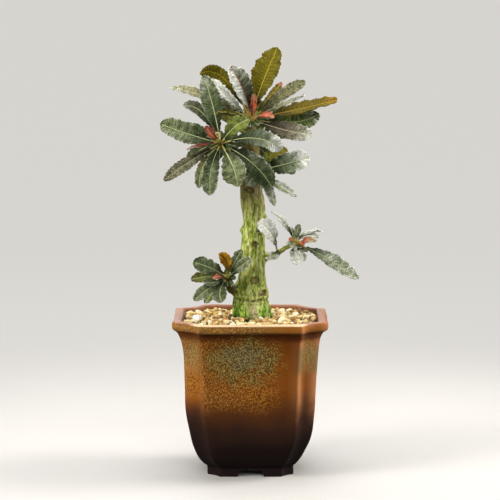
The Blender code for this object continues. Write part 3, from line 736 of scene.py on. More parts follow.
def make_light():
    bpy.context.scene.view_settings.view_transform = "Standard"
    world = bpy.data.worlds.new("studio")
    world.use_nodes = True
    background = world.node_tree.nodes["Background"]
    background.inputs["Color"].default_value = linear(WORLD_TONE)
    background.inputs["Strength"].default_value = WORLD_GLOW
    bpy.context.scene.world = world
    for name, place, target, size, power, colour in LIGHTS:
        data = bpy.data.lights.new(name, "AREA")
        data.shape = "RECTANGLE"
        data.size, data.size_y = size
        data.energy = power
        data.color = linear(colour)[:3]
        light = add_object(name, data)
        light.location = Vector(place) * MM + POT_AXIS
        light.rotation_mode = "QUATERNION"
        light.rotation_quaternion = (Vector(target) - Vector(place)).to_track_quat("-Z", "Y")


# Pot

def outside_ridge(height, half):
    """The ridge that ends a side's flat face: the lip's corners are cut deeper than the body's."""
    share = np.clip((height - LIP_COVE[0]) / (LIP_COVE[1] - LIP_COVE[0]), 0.0, 1.0)
    return half * (BODY_RIDGE + (LIP_RIDGE - BODY_RIDGE) * share)


def half_at(height):
    return np.interp(height, *zip(*POT_OUTSIDE))


def inside_ridge(height, half):
    """The inner corner runs parallel to the outer one, a wall's thickness in."""
    outer = half_at(min(height, POT_HEIGHT - 1.0))
    return outside_ridge(height, outer) - (outer - half) * CORNER_CUT


def pot_outline(half, ridge, inset=0.0):
    """Plan of the pot at one height: four flat sides, four hollowed corners and rounded ridges."""
    half, ridge = half - inset, ridge - inset * CORNER_CUT
    start, end, following = Vector((half, -ridge)), Vector((half, ridge)), Vector((ridge, half))
    chord = following - end
    inward = Vector((-1.0, -1.0)).normalized()

    def hollow(t):
        return end + chord * t + inward * CORNER_HOLLOW * chord.length * (1.0 - (2.0 * t - 1.0) ** 2)

    def rounding(before, corner, after):
        spots = [step / RIDGE_STEPS for step in range(RIDGE_STEPS + 1)]
        return [before * (1 - t) ** 2 + corner * 2 * t * (1 - t) + after * t * t for t in spots]

    reach = RIDGE_ROUNDING / chord.length
    quarter = [start.lerp(end, step / SIDE_STEPS) for step in range(1, SIDE_STEPS)]
    quarter += rounding(end - Vector((0.0, RIDGE_ROUNDING)), end, hollow(reach))
    quarter += [hollow(reach + (1.0 - 2.0 * reach) * step / CORNER_STEPS) for step in range(1, CORNER_STEPS)]
    quarter += rounding(hollow(1.0 - reach), following, following - Vector((RIDGE_ROUNDING, 0.0)))
    turns = [Matrix.Rotation(turn * math.pi / 2.0, 2) for turn in range(4)]
    return np.array([tuple(turn @ point) for turn in turns for point in quarter])


def loft_mesh(rings):
    """A closed mesh over rings that all have the same count of points."""
    return new_mesh("loft", rings, skin_faces(len(rings), len(rings[0])))


def pot_rings(rows, inset=0.0, ridge_of=outside_ridge):
    return [at_height(pot_outline(half, ridge_of(height, half), inset), height) for height, half in rows]


def notch_mesh():
    """The arched gap between two feet, as a prism along y that starts below the ground."""
    half, top = FOOT_NOTCH_WIDTH / 2.0, FOOT_NOTCH_TOP / 2.0
    side = [(half, -1.0), (half, 0.0), (half - 0.6, FOOT_HEIGHT * 0.5), (top, FOOT_HEIGHT * 0.86),
            (top - 1.4, FOOT_HEIGHT)]
    profile = side + [(-x, z) for x, z in reversed(side)]
    return loft_mesh([[(x, y, z) for x, z in profile] for y in (POT_HEIGHT, -POT_HEIGHT)])


def pot_mesh():
    """The pot's outside less its hollow, the inside of its foot ring, the notches and the drain hole."""
    body = add_object("pot_body", loft_mesh(pot_rings(smooth_curve(POT_OUTSIDE, OUTSIDE_STEPS))))
    hollow = pot_rings(smooth_curve(POT_INSIDE, INSIDE_STEPS), ridge_of=inside_ridge)
    foot = pot_rings([(z, half_at(0.0)) for z in (-1.0, FOOT_HEIGHT)], FOOT_RING_WALL)
    drain = [at_height(DRAIN_RADIUS * circle(DRAIN_SIDES), z) for z in (-2.0, 18.0)]
    cutters = bpy.data.collections.new("cutters")
    bpy.context.scene.collection.children.link(cutters)
    for mesh, turn in ((loft_mesh(hollow), 0.0), (loft_mesh(foot), 0.0), (notch_mesh(), 0.0),
                       (notch_mesh(), math.pi / 2.0), (loft_mesh(drain), 0.0)):
        cutter = bpy.data.objects.new("cutter", mesh)
        cutter.rotation_euler.z = turn
        cutters.objects.link(cutter)
    cut = body.modifiers.new("cut", "BOOLEAN")
    cut.operation = "DIFFERENCE"
    cut.operand_type = "COLLECTION"
    cut.collection = cutters
    mesh = baked_mesh(body)
    for cutter in list(cutters.objects):
        bpy.data.objects.remove(cutter, do_unlink=True)
    bpy.data.collections.remove(cutters)
    return mesh


def make_pot(glaze):
    mesh = pot_mesh()
    points = vertex_vectors(mesh, "co") / MM
    plan, height = points[:, :2], points[:, 2]
    half = half_at(height)
    ridge = outside_ridge(height, half)
    stray = POT_WOBBLE * noise_at(points * (1.0, 1.0, 1.5), 0.035) * np.minimum(1.0, height / 20.0)
    lift = LIP_WOBBLE * noise_at(at_height(plan, 7.0), 0.06) * smoothstep(90.0, 98.0, height)
    out = plan / np.maximum(1.0, np.hypot(plan[:, 0], plan[:, 1]))[:, None]
    points += at_height(out * stray[:, None], lift)
    move_vertices(mesh, points)
    flat = np.abs(points[:, :2])
    far, near = flat.max(axis=1), flat.min(axis=1)
    distance = np.hypot(far - half, near - ridge) / np.where(near > ridge, RIDGE_MARK_REACH[1], RIDGE_MARK_REACH[0])
    facing = np.sum(vertex_vectors(mesh, "normal")[:, :2] * unit(points[:, :2] + 1e-6), axis=1)
    add_values(mesh, "ridge", np.exp(-distance ** 2))
    add_values(mesh, "outer", smoothstep(-0.3, 0.1, facing))
    pot = place_mesh(mesh, "glazed_pot", glaze)
    pot.data.set_sharp_from_angle(angle=math.radians(POT_SHARP))
    finish_piece(pot, "pot")


def glaze_surface():
    """Reactive glaze: tan on the lip, olive speckled patches, burnt orange, then nearly black."""
    s = Surface("speckled_glaze", {"Specular IOR Level": 0.08, "Coat Weight": 0.02, "Coat Roughness": 0.2})
    x, y, z = s.split(s.place)
    beside = abs(x)
    fine = s.noise(0.6, 3.0, 0.6)
    ragged = s.noise(0.12, 5.0, 0.65) - 0.5
    height = z + (s.noise(0.035, 4.0, 0.55) - 0.5) * 16.0 + (fine - 0.5) * 5.0
    height = height - s.band(beside, 28.0, 34.0) * s.band(z, 70.0, 50.0) * 7.0
    s.colour(s.ramp(height / 100.0, GLAZE_TONES))
    s.paint(s.band(x, -28.0, -34.0) * s.band(abs(z - 64.0), 20.0, 6.0) * 0.75, (152, 88, 20))

    def patch(centre_x, centre_z, wide, high, soft):
        over_x, over_z = (x - centre_x) / wide, (z - centre_z) / high
        return s.band(over_x * over_x + over_z * over_z + ragged * soft, 1.5, 0.3)

    # Olive patches on the front, on its corners and, at random places, on the other sides
    front = s.band(y, -30.0, -36.0)
    olive = patch(-5.0, 77.5, 25.0, 16.0, 3.4) * front
    around = s.band(s.noise(0.028) + ragged * 0.4, 0.5, 0.66) * s.band(y, -38.0, -24.0)
    for other in (patch(-37.0, 80.0, 6.0, 10.0, 3.0) * 0.9, patch(37.0, 80.0, 6.0, 10.0, 3.0) * 0.9,
                  around * s.band(z, 50.0, 66.0) * s.band(z, 97.0, 88.0)):
        olive = s.math("MAXIMUM", olive, other)

    # Lip, and the painted shade in the cove under it
    outside = s.attribute("outer")
    lip = s.band(z, 95.4, 97.4) * outside
    lip_end = s.math("MAXIMUM", s.band(x + ragged * 26.0, 0.0, 22.0), s.band(y, -40.0, -20.0, 0.0, 0.7))
    s.paint(lip, s.mix(lip_end, (148, 116, 68), (146, 88, 32)))
    # Painted shade in the cove under the lip
    cove_shade = s.band(z, 89.5, 93.0) * s.band(z, 97.0, 94.6)
    s.paint(cove_shade * 0.85, (70, 32, 9))

    # Specks: worm-like light flecks over darker glaze, crowded in the patches and thinning downwards
    fleck = s.band(s.noise(1.15, 1.5, 0.5, 0.85), 0.47, 0.58)
    reach = s.band(height, 42.0, 54.0) * s.band(z, 96.0, 88.0) * s.band(x + ragged * 24.0, 27.0, 5.0)
    speckled = s.math("MAXIMUM", reach * 0.65, olive)
    speckled = s.math("MAXIMUM", speckled, lip * s.band(lip_end, 0.75, 0.0, 0.12, 0.72))
    core = patch(-4.0, 80.0, 15.0, 8.0, 3.4) * front
    dark = s.mix(core, s.mix(olive, (78, 40, 6), (70, 58, 22)), (68, 64, 38))
    light = s.mix(core, s.mix(olive, (186, 122, 38), (150, 124, 60)), (142, 132, 84))
    s.paint(speckled * 0.85, s.mix(fleck, dark, light))
    s.paint(s.band(s.noise(1.7), 0.6, 0.68) * 0.8 * speckled, (206, 170, 104))

    # Worn ridges and corners, with a painted highlight on the ridges at the right, the top of the rim, with
    # a painted highlight at the front, and the wall inside it
    corner = s.band(beside, 30.0, 35.0, 0.0, 0.1) * s.band(z, 64.0, 74.0) * s.band(z, 94.0, 88.0)
    s.paint(corner, (236, 190, 124))
    # Worn glaze along the ridges, and on the right-hand ridges a painted highlight as well
    wear_and_highlight = s.band(z + ragged * 30.0, 32.0, 56.0, 0.06, 0.85) * (1.0 - cove_shade * 0.8)
    wear_and_highlight_tone = s.mix(s.band(z, 20.0, 60.0), (74, 54, 44), (204, 138, 88))
    greyed = s.band(abs(z - 78.0), 12.0, 5.0) * 0.8
    wear_and_highlight_tone = s.mix(greyed, wear_and_highlight_tone, s.mix(fine, (118, 104, 62), (152, 138, 96)))
    s.paint(s.attribute("ridge") * wear_and_highlight * s.band(x, -30.0, 30.0, 0.12, 1.0), wear_and_highlight_tone)
    # The rim's top is paler towards the front: thin glaze, and a painted highlight
    rim_tone = s.mix(fine, (132, 88, 64), (176, 128, 98))
    rim_tone = s.mix(s.band(y, -40.0, -46.0), rim_tone, s.mix(fine, (204, 154, 108), (255, 234, 194)))
    s.paint(s.band(z, 100.9, 101.6) * 0.85, rim_tone)
    inside = (1.0 - outside) * s.band(z, 90.0, 95.0) * 0.85
    s.paint(inside, s.mix(fine, (112, 70, 48), (152, 106, 80)))
    s.set("Roughness", fine * 0.16 + s.band(z, 20.0, 55.0, 0.46, 0.34))
    s.bump(fleck * speckled, 0.12)
    s.bump(fine, 0.3, 0.6)
    return s


# Gravel

def inside_pot(x, y, margin):
    """Whether a point on the gravel is clear of the pot's wall by a margin."""
    half = SOIL_EDGE_HALF
    ridge = inside_ridge(SOIL_EDGE, half)
    dip = CORNER_HOLLOW * (half - ridge) * math.sqrt(2.0)
    flat = max(abs(x), abs(y)) < half - margin
    return flat and abs(x) + abs(y) < half + ridge - math.sqrt(2.0) * (dip + margin)


def from_trunk(x, y):
    return math.hypot(x - TRUNK_BASE[0], y - TRUNK_BASE[1])


def gravel_height(x, y):
    """Height of the gravel's surface, which heaps up a little at the trunk."""
    heap = SOIL_HEAP * max(0.0, 1.0 - (from_trunk(x, y) - ROOT_RADIUS) / HEAP_REACH) ** 2
    height, pitch = SOIL_WAVES
    return SOIL_EDGE + heap + height * noise.noise(Vector((x, y, 0.0)) * pitch)


def stone(rng, template, size):
    """A broken grain: a ball cut by random planes, stretched and turned."""
    points = template.copy()
    for _ in range(GRAIN_CUTS):
        normal = unit(np.array([rng.gauss(0, 1) for _ in range(3)]))
        over = np.maximum(points @ normal - rng.uniform(*CUT_DEPTHS), 0.0)
        points -= over[:, None] * normal
    points *= [rng.uniform(*limits) for limits in GRAIN_STRETCH]
    turn = Matrix.Rotation(rng.uniform(0, 2 * math.pi), 3, Vector((rng.gauss(0, 1), rng.gauss(0, 1), 2.0)))
    tilt = Matrix.Rotation(rng.gauss(0, GRAIN_TILT), 3, "X")
    return points @ np.array(tilt @ turn).T * size


def grain_is_clear(x, y, size):
    """Whether a grain touches neither the wall, the trunk nor a marked stone."""
    crowded = any(math.hypot(x - a, y - b) < r + 0.4 * size for a, b, r, _ in MARKED_STONES)
    return inside_pot(x, y, size * 0.9) and from_trunk(x, y) >= ROOT_RADIUS + 0.5 * size and not crowded


def make_gravel(grit, soil_and_gap_shade):
    rng = random.Random(11)
    template, faces = ball_mesh(2)
    tones = [linear(tone) for tone, share in GRAIN_TONES for _ in range(share)]
    grains = Parts()
    for x, y, size, tone in MARKED_STONES:
        centre = (x, y, gravel_height(x, y) + 0.2 * size)
        grains.add(stone(rng, template, size) + centre, faces, grain_tone=linear(tone))
    reach = int(SOIL_EDGE_HALF / GRAIN_PITCH) + 2
    places = [(row, column) for row in range(-reach, reach + 1) for column in range(-reach - 1, reach + 2)]
    for level, painted_gap_shade, gaps in GRAIN_LAYERS:
        for row, column in places:
            x = (column + 0.5 * (row % 2)) * GRAIN_PITCH + rng.uniform(-GRAIN_STRAY, GRAIN_STRAY)
            y = row * GRAIN_PITCH * GRAIN_ROWS + rng.uniform(-GRAIN_STRAY, GRAIN_STRAY)
            size = rng.uniform(*GRAIN_SIZES)
            tone = rng.choice(tones)
            if not grain_is_clear(x, y, size) or gaps and rng.random() < gaps:
                continue
            lift = level + rng.uniform(-GRAIN_STRAY, GRAIN_STRAY)
            centre = (x, y, gravel_height(x, y) + lift)
            # The lower layer's grains are darkened: painted shade in the gaps between the grains above
            grains.add(stone(rng, template, size) + centre, faces, grain_tone=np.array(tone) * painted_gap_shade)
    gravel = grains.build("gravel_grains", grit)
    gravel.data.set_sharp_from_angle(angle=math.radians(GRAIN_SHARP))
    finish_piece(gravel, "soil")

    rows = [(z, half) for z, half in POT_INSIDE if z < SOIL_EDGE - BED_DEPTH]
    rings = pot_rings(rows, BED_MARGIN, inside_ridge)
    edge = pot_outline(SOIL_EDGE_HALF, inside_ridge(SOIL_EDGE, SOIL_EDGE_HALF), BED_MARGIN)
    for share in BED_RINGS:
        ring = edge * share + np.array(TRUNK_BASE) * (1.0 - share)
        rings.append(at_height(ring, [gravel_height(x, y) - BED_DEPTH for x, y in ring]))
    finish_piece(place_mesh(loft_mesh(rings), "soil_bed", soil_and_gap_shade), "soil")


def grit_surface():
    s = Surface("gravel_grit", {"Roughness": 0.85})
    s.colour(s.attribute("grain_tone", "Color"))
    s.paint(s.band(s.noise(0.9, 4.0, 0.6), 0.42, 0.72, 0.0, 0.5), (206, 168, 104), "MULTIPLY")
    s.paint(s.band(s.noise(2.4), 0.62, 0.72, 0.0, 0.5), (252, 246, 226))
    s.bump(s.noise(1.6, 5.0, 0.65), 0.5)
    return s


# The dark bed under the grains: soil, and painted shade in the gaps between them
def soil_and_gap_shade_surface():
    s = Surface("soil_bed", {"Roughness": 0.95})
    s.colour(s.mix(s.noise(0.7, 4.0), (22, 14, 8), (56, 38, 20)))
    s.bump(s.noise(0.9, 4.0), 1.2)
    return s


# Trunk and branches

def round_stem(parts, points, radii):
    """A closed round stem along a smooth path."""
    path = smooth_curve(points, STEM_STEPS)
    thickness = smooth_curve([[radius] for radius in radii], STEM_STEPS)
    along = unit(np.gradient(path, axis=0))
    side = unit(np.cross(along, np.array([0.31, 0.9, 0.23])))
    parts.add(*tube(path, side, np.cross(along, side), thickness, BRANCH_SIDES))


def trunk_shape():
    """The trunk and all its branches, as closed bodies that run into each other."""
    parts = Parts()
    rows = smooth_curve(TRUNK_RINGS, STEM_STEPS)
    level, depth = np.tile([1.0, 0.0, 0.0], (len(rows), 1)), np.tile([0.0, 1.0, 0.0], (len(rows), 1))
    parts.add(*tube(rows[:, [1, 2, 0]], level, depth, rows[:, 3], TRUNK_SIDES))
    for points, radii in TRUNK_STUBS.values():
        round_stem(parts, points, radii)
    for plan in SHOOTS.values():
        heart = Vector(plan["heart"])
        before, end = [Vector(point) for point in TRUNK_STUBS[plan["stub"]][0][-2:]]
        rise = (end - before).normalized() * 1.5
        base_radius, top_radius = plan["radius"]
        round_stem(parts, [end - rise, end + rise, heart], (base_radius, base_radius, top_radius))
        points, faces = ball_mesh(3, top_radius * HEART_SWELL)
        parts.add(points + np.array(heart), faces)
        if plan["young"]:
            bud = Vector(plan["bud"])
            round_stem(parts, [heart, heart + bud, heart + bud + bud.normalized() * BUD_REACH], BUD_RADII)
    return parts


def knob_push(height, angle):
    """How far the knobs and creases push the bark out."""
    push = np.zeros(len(height))
    for level, around, reach_up, reach_round, amount in TRUNK_KNOBS:
        turn = turn_between(angle, around)
        push += amount * np.exp(-((height - level) / reach_up) ** 2 - (turn / reach_round) ** 2)
    return push


def scar_values(height, angle, radius, ragged):
    """Relief and brownness of the scars: a raised rim round a sunken heart."""
    push, brown = np.zeros(len(height)), np.zeros(len(height))
    rim, rim_place, rim_reach = SCAR_RIM
    pit, pit_reach = SCAR_PIT
    for level, around, size, strength in TRUNK_SCARS:
        turn = np.radians(turn_between(angle, around)) * radius
        distance = np.hypot(height - level, turn * 0.85) / size + 0.5 * ragged
        push += rim * np.exp(-((distance - rim_place) / rim_reach) ** 2)
        push -= pit * np.exp(-(distance / pit_reach) ** 2)
        brown = np.maximum(brown, strength * smoothstep(1.2, 0.3, distance))
    return push, brown


def make_trunk(bark):
    rough = trunk_shape().build("trunk_rough")
    skin = rough.modifiers.new("skin", "REMESH")
    skin.mode = "VOXEL"
    skin.voxel_size = TRUNK_VOXEL * MM
    soften = rough.modifiers.new("soften", "SMOOTH")
    soften.factor = 0.5
    soften.iterations = 4
    mesh = baked_mesh(rough)

    points, normals = vertex_vectors(mesh, "co") / MM, vertex_vectors(mesh, "normal")
    height = points[:, 2]
    heights, *others = zip(*TRUNK_RINGS)
    centre_x, centre_y, radius = [np.interp(height, heights, values) for values in others]
    dx, dy = points[:, 0] - centre_x, points[:, 1] - centre_y
    angle = np.degrees(np.arctan2(dy, dx)) % 360.0
    on_trunk = smoothstep(2.2, 0.8, np.hypot(dx, dy) - radius) * smoothstep(*TRUNK_TOP, height)
    foot = smoothstep(*TRUNK_FOOT, height)
    streaks = noise_at(points * STREAK_SCALE, 1.0)
    lumps, ragged = noise_at(points, LUMP_SCALE), noise_at(points, GRAIN_SCALE)

    scar_push, brown = scar_values(height, angle, radius, ragged)
    push = on_trunk * (knob_push(height, angle) + scar_push)
    push += BARK_STREAKS * streaks + BARK_LUMPS * lumps + BARK_GRAIN * ragged
    crease = np.zeros(len(points))
    tilt, bearing = CREASE_TILT
    tilted = height + 0.9 * lumps + tilt * np.sin(np.radians(angle - bearing))
    for level, reach_up, amount in TRUNK_CREASES:
        ring = np.exp(-((tilted - level) / reach_up) ** 2)
        push += on_trunk * amount * ring * (0.85 + 0.4 * lumps)
        crease = np.maximum(crease, -amount * ring)
    flutes, flute_depth = FOOT_FLUTES
    push += foot * on_trunk * flute_depth * np.sin(np.radians(angle) * flutes + lumps * 4.0)
    move_vertices(mesh, points + normals * push[:, None])
    level, around, reach_up, reach_round = PALE_SCAR
    turn = turn_between(angle, around)
    pale = np.exp(-((height - level) / reach_up) ** 2 - (turn / reach_round) ** 2 + 1.2 * ragged)
    for name, values in (("scar", brown * on_trunk), ("foot", foot), ("branch", 1.0 - on_trunk),
                         ("crease", crease * on_trunk), ("pale_scar", np.clip(pale, 0.0, 1.0) * on_trunk)):
        add_values(mesh, name, values)
    finish_piece(place_mesh(mesh, "bark_trunk", bark), "trunk")


def bark_surface():
    """Green, photosynthetic bark: pale plates, dark fissures, brown scars and a mossy foot."""
    s = Surface("green_bark", {"Roughness": 0.5, "Specular IOR Level": 0.28})
    _, _, z = s.split(s.place)
    fine = s.noise(0.95, 5.0, 0.65, 0.32)
    broad = s.noise(0.26, 4.0, 0.55, 0.4)
    thread = s.noise(0.75, 3.0, 0.55, 0.12)
    foot = s.attribute("foot")
    fissure = s.band(thread, 0.45, 0.36) * s.band(broad, 0.62, 0.42, 0.2, 1.0) * (1.0 - foot)
    s.colour(s.ramp(fine, BARK_TONES))
    s.paint(s.band(broad, 0.51, 0.62, 0.0, 0.75), (222, 224, 150))
    s.paint(s.band(broad, 0.47, 0.34, 0.0, 0.8), (78, 98, 10))
    s.paint(fissure * s.band(fine, 0.62, 0.4, 0.1, 0.62), (62, 72, 12))
    s.paint(s.band(s.noise(0.5, 3.0, 0.5, 0.06), 0.55, 0.66, 0.0, 0.6), (220, 220, 156))
    # Painted shade under the crown darkens the top of the trunk
    s.paint(s.band(z, 158.0, 176.0, 0.0, 0.95), (190, 184, 164), "MULTIPLY")
    s.paint(s.band(abs(z - 126.0), 14.0, 4.0, 0.0, 0.8), (208, 212, 180), "MULTIPLY")
    aged = s.band(z, 170.0, 188.0) * s.band(fine, 0.68, 0.44, 0.35, 0.92)
    s.paint(aged, s.mix(broad, (44, 34, 10), (110, 92, 44)))
    mossy = s.mix(s.band(broad * 0.8 + fine, 0.8, 1.08), (42, 90, 0), (168, 208, 46))
    s.paint(foot * s.band(broad, 0.62, 0.46, 0.7, 1.0), mossy)
    s.paint(s.band(z, 103.5, 100.5, 0.0, 0.7), (44, 52, 10))
    # Painted shade in the creases round the foot
    crease = s.attribute("crease") * s.band(fine, 0.66, 0.4, 0.5, 1.0)
    s.paint(s.band(crease, 0.1, 0.8, 0.0, 0.7), (82, 74, 20))
    s.paint(s.band(s.noise(0.24, 5.0, 0.65), 0.56, 0.66, 0.0, 0.6), (92, 78, 24))
    s.paint(s.attribute("pale_scar") * s.band(fine, 0.4, 0.56, 0.4, 1.0), (226, 202, 164))
    scar = s.attribute("scar")
    scar_tone = s.mix(s.band(scar, 0.72, 0.98), s.mix(fine, (44, 32, 10), (104, 82, 34)),
                      s.mix(fine, (84, 66, 24), (176, 160, 92)))
    s.paint(s.band(scar, 0.08, 0.6, 0.0, 0.9), scar_tone)
    branch = s.attribute("branch")
    twig = s.mix(s.band(z, 170.0, 185.0), s.mix(fine, (112, 116, 26), (184, 186, 88)),
                 s.mix(fine, (84, 74, 16), (146, 134, 54)))
    s.paint(branch * 0.8, twig)
    # The low side shoot's stem, below 132 mm, is painted dark brown: brown bark, and painted shade under its
    # leaves
    s.paint(branch * s.band(z, 132.0, 126.0, 0.0, 0.85), (58, 44, 24))
    s.bump(fine - fissure * 0.3, 0.7)
    s.bump(s.noise(1.8, 4.0, 0.65), 0.35)
    return s


# Leaves

def blade_shape(q):
    """Half-width of a blade over its widest half-width, q from the blade's base to its tip."""
    swelling = np.sin(0.5 * math.pi * np.clip(q / BLADE_WIDEST, 0.0, 1.0)) ** BLADE_RISE
    rising = BLADE_BASE + (1.0 - BLADE_BASE) * swelling
    beyond = np.maximum(q - BLADE_WIDEST, 0.0) / (1.0 - BLADE_WIDEST)
    falling = np.sqrt(np.maximum(0.0, 1.0 - beyond ** BLADE_FALL))
    return np.where(q < BLADE_WIDEST, rising, falling)


def rib_points(blade):
    """Where a leaf's rib starts, its middle and its tip, from the heart of the shoot."""
    tip, middle = np.array(blade.tip, float), np.array(blade.middle, float)
    root = np.array(blade.root, float) if blade.root else unit(middle) * ROOT_SINK
    return root, middle, tip


def rib_frames(blade, heart, gaze, stations):
    """Points on a leaf's rib, and the directions along it, across the blade and out of its face."""
    root, middle, tip = rib_points(blade)
    control = middle * 2.0 - (root + tip) * 0.5
    s = np.asarray(stations)[:, None]
    spot = root * (1 - s) ** 2 + control * 2 * s * (1 - s) + tip * s ** 2
    along = unit((control - root) * (1 - s) + (tip - control) * s)
    face = unit(np.array(gaze, float)) * GAZE_DISTANCE - spot
    face = unit(face - along * np.sum(face * along, axis=1, keepdims=True))
    roll = math.radians(blade.roll)
    face = face * math.cos(roll) + np.cross(along, face) * math.sin(roll)
    return spot + np.array(heart, float), along, np.cross(along, face), face


def tone_of(name):
    return np.array(linear(TONES[name]))


def add_blade(sheet, blade, heart, gaze, rng):
    """A leaf's blade: toothed, puffed between its veins, waved and crumpled."""
    root, middle, tip = rib_points(blade)
    length = np.linalg.norm(middle - root) + np.linalg.norm(tip - middle)
    teeth = max(4, round(length * (1.0 - PETIOLE_SHARE) / TOOTH_PITCH))
    waves = next(count for shortest, count in BLADE_WAVES if length > shortest)
    rows = TOOTH_ROWS * teeth
    q = np.concatenate([np.arange(rows) / rows, 1.0 - np.array(TIP_ROWS) / rows])
    rib, _, side, face = rib_frames(blade, heart, gaze, PETIOLE_SHARE + (1 - PETIOLE_SHARE) * q)

    def swing(value):
        return np.sin(2.0 * math.pi * value)

    u, q_row = np.linspace(-1.0, 1.0, BLADE_COLUMNS + 1)[None, :], q[:, None]
    across = np.abs(u)
    drift, turn, slip = rng.random(), rng.random(), rng.random()
    teeth_passed = teeth * q_row + TOOTH_DRIFT * swing(1.7 * q_row + drift)
    passed = teeth_passed + 0.5 * (u > 0)
    ripple = np.cos(2.0 * math.pi * waves * q_row)
    smooth_half = blade.width / 2.0 * blade_shape(q_row) * (0.98 + 0.02 * ripple)
    uneven = 1.0 + 0.05 * swing(1.3 * q_row + np.where(u > 0, rng.random(), rng.random()))
    # Leaves that are silver all over are more jagged and crumpled
    jagged = 1.0 + 0.9 * min(1.0, max(0.0, (min(blade.frost) - 0.7) / 0.3))
    depth = jagged * np.minimum(TOOTH_DEPTH * (0.7 + 0.3 * blade.width / LEAF_USUAL), 0.3 * smooth_half)
    depth = depth * (1.0 + 0.45 * swing(0.23 * passed + turn) + 0.3 * swing(0.61 * passed + slip))
    crown = np.abs(np.sin(math.pi * passed)) ** 0.6
    reach = u * (smooth_half * uneven - depth * (1.0 - crown) * smoothstep(0.25, 1.0, across))

    vein = passed - 0.5 + VEIN_SLANT * (1.0 - across ** VEIN_BEND)
    puff = PUFF * min(1.0, blade.width / 11.0) * np.abs(np.sin(math.pi * vein)) ** 0.7
    puff *= smoothstep(0.05, 0.3, across) * (1.0 - 0.5 * smoothstep(0.8, 1.0, across))
    fold = math.tan(math.radians(LEAF_FOLD)) * (np.sqrt(reach ** 2 + 0.5) - math.sqrt(0.5))
    wave = LEAF_WAVE * blade.width / LEAF_USUAL * ripple * across ** 1.6
    slow = 0.05 * blade.width * swing(1.2 * q_row + rng.random() + 0.25 * np.sign(u))
    lift = fold + wave + slow * across ** 2 + puff
    points = rib[:, None] + side[:, None] * reach[..., None] + face[:, None] * lift[..., None]
    height, pitch = CRUMPLE
    folds = noise_at(points.reshape(-1, 3), pitch).reshape(reach.shape)
    folds = jagged * height * folds * smoothstep(0.1, 0.6, across)
    points += face[:, None] * folds[..., None]

    even = np.ones(reach.shape)
    base, end = tone_of(blade.tone), tone_of(blade.end)
    tone = base + (end - base) * (smoothstep(*blade.fade, q_row) * even)[..., None]
    left, right, tip_frost_and_sheen = blade.frost
    frost = np.where(u < 0, left, right) * even
    frost = frost + (tip_frost_and_sheen - frost) * smoothstep(0.35, 1.0, q_row)
    place = np.stack(np.broadcast_arrays(u, teeth_passed, q_row), axis=-1)
    sheet.add(points.reshape(-1, 3), grid_faces(*reach.shape), leaf_place=place.reshape(-1, 3),
              rib_distance=np.abs(reach).ravel(), leaf_tone=tone.reshape(-1, 4),
              rib_tone=tone_of(blade.rib), frost=frost.ravel(),
              veined=VEIN_SHOWS.get(blade.rib, VEIN_FAINT))


def add_rib(ribs, blade, heart, gaze):
    """The rib and petiole that carry a blade."""
    stations = np.linspace(0.0, RIB_END, RIB_ROWS)
    path, _, side, face = rib_frames(blade, heart, gaze, stations)
    thinnest, thickest = RIB_RADII
    thick = min(thickest, max(thinnest, 0.03 * blade.width + 0.18))
    radii = thick * (1.0 - 0.72 * smoothstep(0.0, 1.0, stations))
    sink = (0.1 + 0.25 * radii) * smoothstep(0.05, 0.2, stations)
    path = path - face * sink[:, None]
    points, faces = tube(path, side, face, np.column_stack([radii, radii * 1.15]), RIB_SIDES)
    ribs.add(points, faces, rib_tone=tone_of(blade.rib), share=np.repeat(stations, RIB_SIDES))


def inner_leaves(plan, rng):
    """Short leaves behind the petioles, which close the gaps between them round the rosette's heart."""
    gaze = Vector(plan["gaze"]).normalized()
    level = gaze.orthogonal().normalized()
    upright = gaze.cross(level)
    scale = plan["radius"][1] / INNER_STEM
    tones, frost = plan.get("inner", INNER_DARK)
    blades = []
    for step in range(INNER_LEAVES):
        turn = 2.0 * math.pi * (step + rng.uniform(-INNER_STRAY, INNER_STRAY)) / INNER_LEAVES
        out = level * math.cos(turn) + upright * math.sin(turn)
        length = scale * rng.uniform(*INNER_LENGTHS)
        tip = out * length - gaze * scale * rng.uniform(*INNER_DROPS)
        middle = out * length * 0.5 - gaze * scale * INNER_BACK
        width, roll = scale * rng.uniform(*INNER_WIDTHS), rng.uniform(-INNER_ROLL, INNER_ROLL)
        blades.append((tuple(tip), tuple(middle), width, roll, rng.choice(tones), rng.choice(tones), frost))
    return blades


def make_leaves(node, rows, heart, gaze, rng, surfaces):
    """The two pieces of a group of leaves: its blades, and its ribs with the petioles."""
    upper, under, stalk = surfaces
    sheet, ribs = Parts(), Parts()
    for row in rows:
        blade = Blade(*row)
        add_blade(sheet, blade, heart, gaze, rng)
        add_rib(ribs, blade, heart, gaze)
    leaves = sheet.build(node + "_leaves", upper, under)
    shell = leaves.modifiers.new("thickness", "SOLIDIFY")
    shell.thickness = LEAF_THICKNESS * MM
    shell.offset = 0.0
    shell.material_offset = 1
    finish_piece(leaves, node)
    finish_piece(ribs.build(node + "_ribs", stalk), node)


